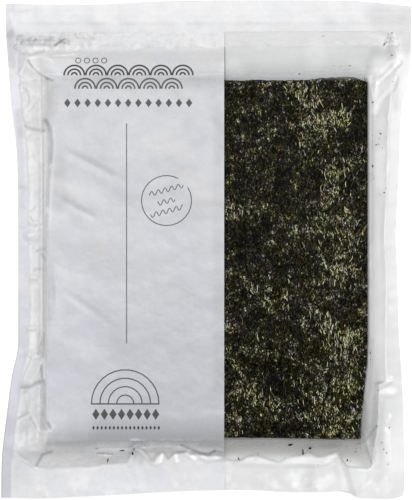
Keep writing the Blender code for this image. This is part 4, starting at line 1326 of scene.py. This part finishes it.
# Where the pale shreds, whose colour is a painted glint, gather, and where there are none: a place in pixels,
# its reach, and its draw
CLUSTERS = (
    ((296, 90), 7, 0.8), ((309, 98), 9, 1.1), ((322, 128), 13, 1), ((340, 118), 7, 0.8),
    ((304, 150), 6, 0.8), ((334, 172), 9, 1), ((331, 196), 9, 1.1), ((235, 215), 9, 0.9),
    ((263, 213), 8, 0.7), ((310, 223), 8, 0.4), ((340, 234), 14, 0.7), ((345, 270), 9, 1),
    ((330, 284), 8, 0.7), ((275, 285), 14, 0.4), ((316, 308), 7, 0.8), ((327, 328), 9, 1.1),
    ((350, 337), 8, 1.1), ((338, 350), 10, 0.9), ((262, 345), 10, 0.3), ((243, 394), 8, 0.9),
    ((272, 402), 11, 0.8), ((298, 386), 5, 0.7), ((348, 382), 10, 1.1), ((320, 402), 10, 1),
    ((334, 424), 14, 0.9), ((356, 412), 8, 0.9), ((232, 425), 8, 0.7), ((276, 108), 7, -0.4),
    ((330, 93), 7, -0.6), ((355, 132), 9, -0.7), ((297, 190), 12, -0.5), ((245, 188), 12, -0.4),
    ((250, 248), 18, -0.6), ((287, 268), 7, -0.6), ((333, 306), 8, -0.7), ((230, 308), 8, -0.5),
    ((257, 320), 10, -0.5), ((316, 333), 5, -0.6), ((281, 378), 10, -0.8), ((262, 417), 10, -0.3),
)
SHREDS = 5200
# Where they lie, in pixels across and down
SHREDS_ACROSS, SHREDS_DOWN = (224, 367), (84, 434)
SHRED_STATIONS = 5
SHRED_THICK = 0.08 * MM


def cluster_draw(px, py):
    """How much a place draws the pale shreds, painted glints, to it."""
    total = 0.0
    for (cx, cy), reach, strength in CLUSTERS:
        total += strength * np.exp(-((px - cx) ** 2 + (py - cy) ** 2) / (2 * reach ** 2))
    return total


def make_shreds(tree, material):
    """Curved shreds on the top sheet: dark ones everywhere, and pale glossy ones, whose colour is a painted
    glint, in clusters.
    """
    verts, faces, tones = [], [], []
    made = 0
    while made < SHREDS:
        px, py = random.uniform(*SHREDS_ACROSS), random.uniform(*SHREDS_DOWN)
        draw = cluster_draw(px, py)
        if random.random() > 0.35 + 0.5 * draw:
            continue
        x, y = at(px, py)
        if x > sheet_right(y) - 1.0 * MM:
            continue
        made += 1
        lot = random.random()
        pale = lot < 0.36 * draw
        # Pale shreds get the cream end of the tones: painted glints.
        tone = random.uniform(0.74, 1.2) if pale else random.uniform(-0.15, 0.56)
        length = random.uniform(1.0, 2.6) * MM + (random.random() ** 3) * 3.0 * MM
        half = random.uniform(0.09, 0.22) * MM if pale else random.uniform(0.12, 0.28) * MM
        angle = math.radians(random.gauss(95, 18))
        bend = random.uniform(-0.9, 0.9)
        add_shred(tree, verts, faces, tones, (x, y), length, half, angle, bend, tone)
    piece = link_mesh("seaweed_shreds", verts, faces, material)
    give_values(piece, "tone", tones)
    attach(piece, "root")


def add_shred(tree, verts, faces, tones, place, length, half, angle, bend, tone):
    """A thin curved bar that lies on the topmost sheet and narrows towards its ends."""
    faces += bar_faces(len(verts), SHRED_STATIONS)
    tones += [tone] * (4 * SHRED_STATIONS)
    x, y = place
    steps = SHRED_STATIONS - 1
    for k in range(SHRED_STATIONS):
        share = k / steps
        heading = angle + bend * (share - 0.5)
        width = half * (0.35 + 0.65 * math.sin(math.pi * min(max(share, 0.08), 0.92)))
        rise = (0.10 + 0.10 * math.sin(math.pi * share)) * MM
        top = (height_on(tree, x, y) or STACK_TOP_Z) + rise
        for side in (width, -width):
            corner = (x - side * math.sin(heading), y + side * math.cos(heading))
            verts += [(*corner, top), (*corner, top - SHRED_THICK)]
        x += math.cos(heading) * length / steps
        y += math.sin(heading) * length / steps


# Crumbs that cling to the film: pixels, lengths in millimetres, and where it matters turns and widths
CRUMBS = (
    (323.4, 36, 1.6, 20, 0.3), (299.2, 74.5, 2.2, 45, 0.3), (334, 66, 0.9), (340.5, 67, 1.2, -25, 0.4),
    (349.3, 66.3, 1.7, 5, 0.4), (348.2, 70, 0.8), (392, 32.8, 1.4, 10, 0.6), (388, 37.5, 0.9), (391, 38, 1),
    (386.5, 42, 1.2, 70, 0.5), (389.5, 42.3, 0.9), (384.2, 44, 1.9, 75, 0.4), (394, 38, 0.7),
    (391.7, 55.2, 1.7, 5, 0.5), (385.5, 39, 0.7), (388.5, 33.5, 0.8), (372, 103, 1.6, 0, 0.8),
    (392.7, 81.7, 1), (380, 134, 1.5, 30, 0.8), (379, 139, 0.9), (372.2, 136.2, 0.8), (371.7, 141.7, 0.9),
    (375.5, 145.2, 1.3, 0, 0.8), (378, 144.6, 1.4, 110, 0.3), (382, 148.3, 0.9), (372, 166.6, 2, 60, 0.7),
    (371.7, 175.3, 0.8), (374, 176.8, 0.8), (373, 179, 1.2), (385.5, 178.5, 0.7), (384.5, 181, 0.6),
    (385.5, 188.6, 0.9, 90, 0.4), (384, 192.8, 1.4, 0, 0.7), (378.3, 193.5, 0.7), (379.7, 195.3, 0.9),
    (132.7, 453.6, 2.3, 60, 0.8), (133.9, 449.4, 2.6, 70, 0.25), (122, 450.4, 3.6, 5, 0.3),
    (107.8, 460.4, 3.2, 72, 0.35), (97.4, 448.2, 1.2), (238.7, 458.8, 2.2, -60, 0.5),
    (290, 444.4, 3.6, 25, 0.5), (310.2, 448.2, 2.7, -20, 0.7), (303, 452.2, 4.8, 100, 0.26),
    (258, 453, 1.4, 5, 0.3), (263.5, 444.2, 0.8), (346.9, 446, 1.2), (355.5, 451.3, 1.4), (355.7, 448, 0.8),
    (360.4, 447.7, 0.9), (347.4, 460, 2.1, 50, 0.6), (350.3, 461, 1.2), (377, 425.8, 1.4),
    (389.2, 427.8, 1.5, 80, 0.5), (381.9, 442.8, 1.3), (374.2, 445.4, 0.9), (383.8, 449.5, 1.2),
    (386.8, 453, 1.3), (387.9, 464.4, 1), (369.5, 352.5, 1.8), (369.8, 359, 1), (318.4, 465, 0.9),
    (377.8, 390.4, 1.3), (368, 378, 0.7), (373, 399, 0.6), (377.5, 411.5, 0.6),
)
CRUMB_WIDE = 0.45
CRUMB_CORNERS = 7
CRUMB_LIFTS = (0.02 * MM, 0.12 * MM)


def make_crumbs(tree, material):
    verts, faces, tones = [], [], []
    for px, py, length, *shape in CRUMBS:
        turn, wide = shape or (random.uniform(0, 180), CRUMB_WIDE)
        add_crumb(tree, verts, faces, at(px, py), length * MM / 2, math.radians(turn), wide)
        tones += [random.uniform(0.0, 0.25)] * (2 * CRUMB_CORNERS)
    piece = link_mesh("crumbs", verts, faces, material, smooth_shade=False)
    give_values(piece, "tone", tones)
    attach(piece, "root")


def add_crumb(tree, verts, faces, place, half, turn, wide):
    """A flat flake with ragged corners that clings to the film."""
    faces += slab_faces(len(verts), CRUMB_CORNERS)
    for lift in CRUMB_LIFTS:
        for k in range(CRUMB_CORNERS):
            angle = 2 * math.pi * k / CRUMB_CORNERS
            reach = half * (0.75 + 0.25 * math.sin(5 * turn + 2.1 * k))
            along, aside = reach * math.cos(angle), wide * reach * math.sin(angle)
            x = place[0] + along * math.cos(turn) - aside * math.sin(turn)
            y = place[1] + along * math.sin(turn) + aside * math.cos(turn)
            verts.append((x, y, height_on(tree, x, y) + lift))


# Table, light and camera

TABLE_SIZE = 6.0
SKY_STRENGTH = 0.42
# Lamps: a name, a place and a size in metres, and a power in watts
LAMPS = (
    ("overhead", (0.1, 0.5, 2.3), 1.2, 26), ("top", (0.2, 1.3, 1.6), 0.7, 12),
    ("right", (1.4, -0.1, 1.1), 0.7, 5), ("left", (-1.4, -0.1, 1.1), 0.7, 8),
)


def make_table():
    half = TABLE_SIZE / 2
    corners = [(-half, -half, 0), (half, -half, 0), (half, half, 0), (-half, half, 0)]
    table = link_mesh("table", corners, [(0, 1, 2, 3)], floor_material(), smooth_shade=False)


def softbox(name, place, size, power):
    """A square area light that points at the pouch and isn't seen itself."""
    data = bpy.data.lights.new(name, "AREA")
    data.shape = "SQUARE"
    data.size = size
    data.energy = power
    light = link(name, data)
    light.location = place
    light.rotation_euler = (-Vector(place)).to_track_quat("-Z", "Y").to_euler()
    light.visible_camera = False


def make_light():
    world = bpy.data.worlds.new("studio")
    bpy.context.scene.world = world
    world.use_nodes = True
    sky = world.node_tree.nodes["Background"]
    sky.inputs["Color"].default_value = (1.0, 1.0, 1.0, 1)
    sky.inputs["Strength"].default_value = SKY_STRENGTH
    for lamp in LAMPS:
        softbox(*lamp)


def make_camera():
    data = bpy.data.cameras.new("camera")
    data.sensor_width = CAMERA_SENSOR
    long_side = PHOTO_HEIGHT * PIXEL
    data.lens = CAMERA_SENSOR * (CAMERA_HEIGHT - SHARP_HEIGHT) / long_side
    camera = link("camera", data)
    camera.location = (0, -0.5 * PIXEL, CAMERA_HEIGHT)
    bpy.context.scene.camera = camera
    bpy.context.scene.view_settings.view_transform = "Standard"


make_table()
make_light()
make_camera()
film_tree = make_films()
make_print(film_tree)
seaweed = seaweed_material()
make_sheets(seaweed)
sheet_tree = make_top_sheet(seaweed)
shreds = shred_material()
make_shreds(sheet_tree, shreds)
make_crumbs(film_tree, shreds)
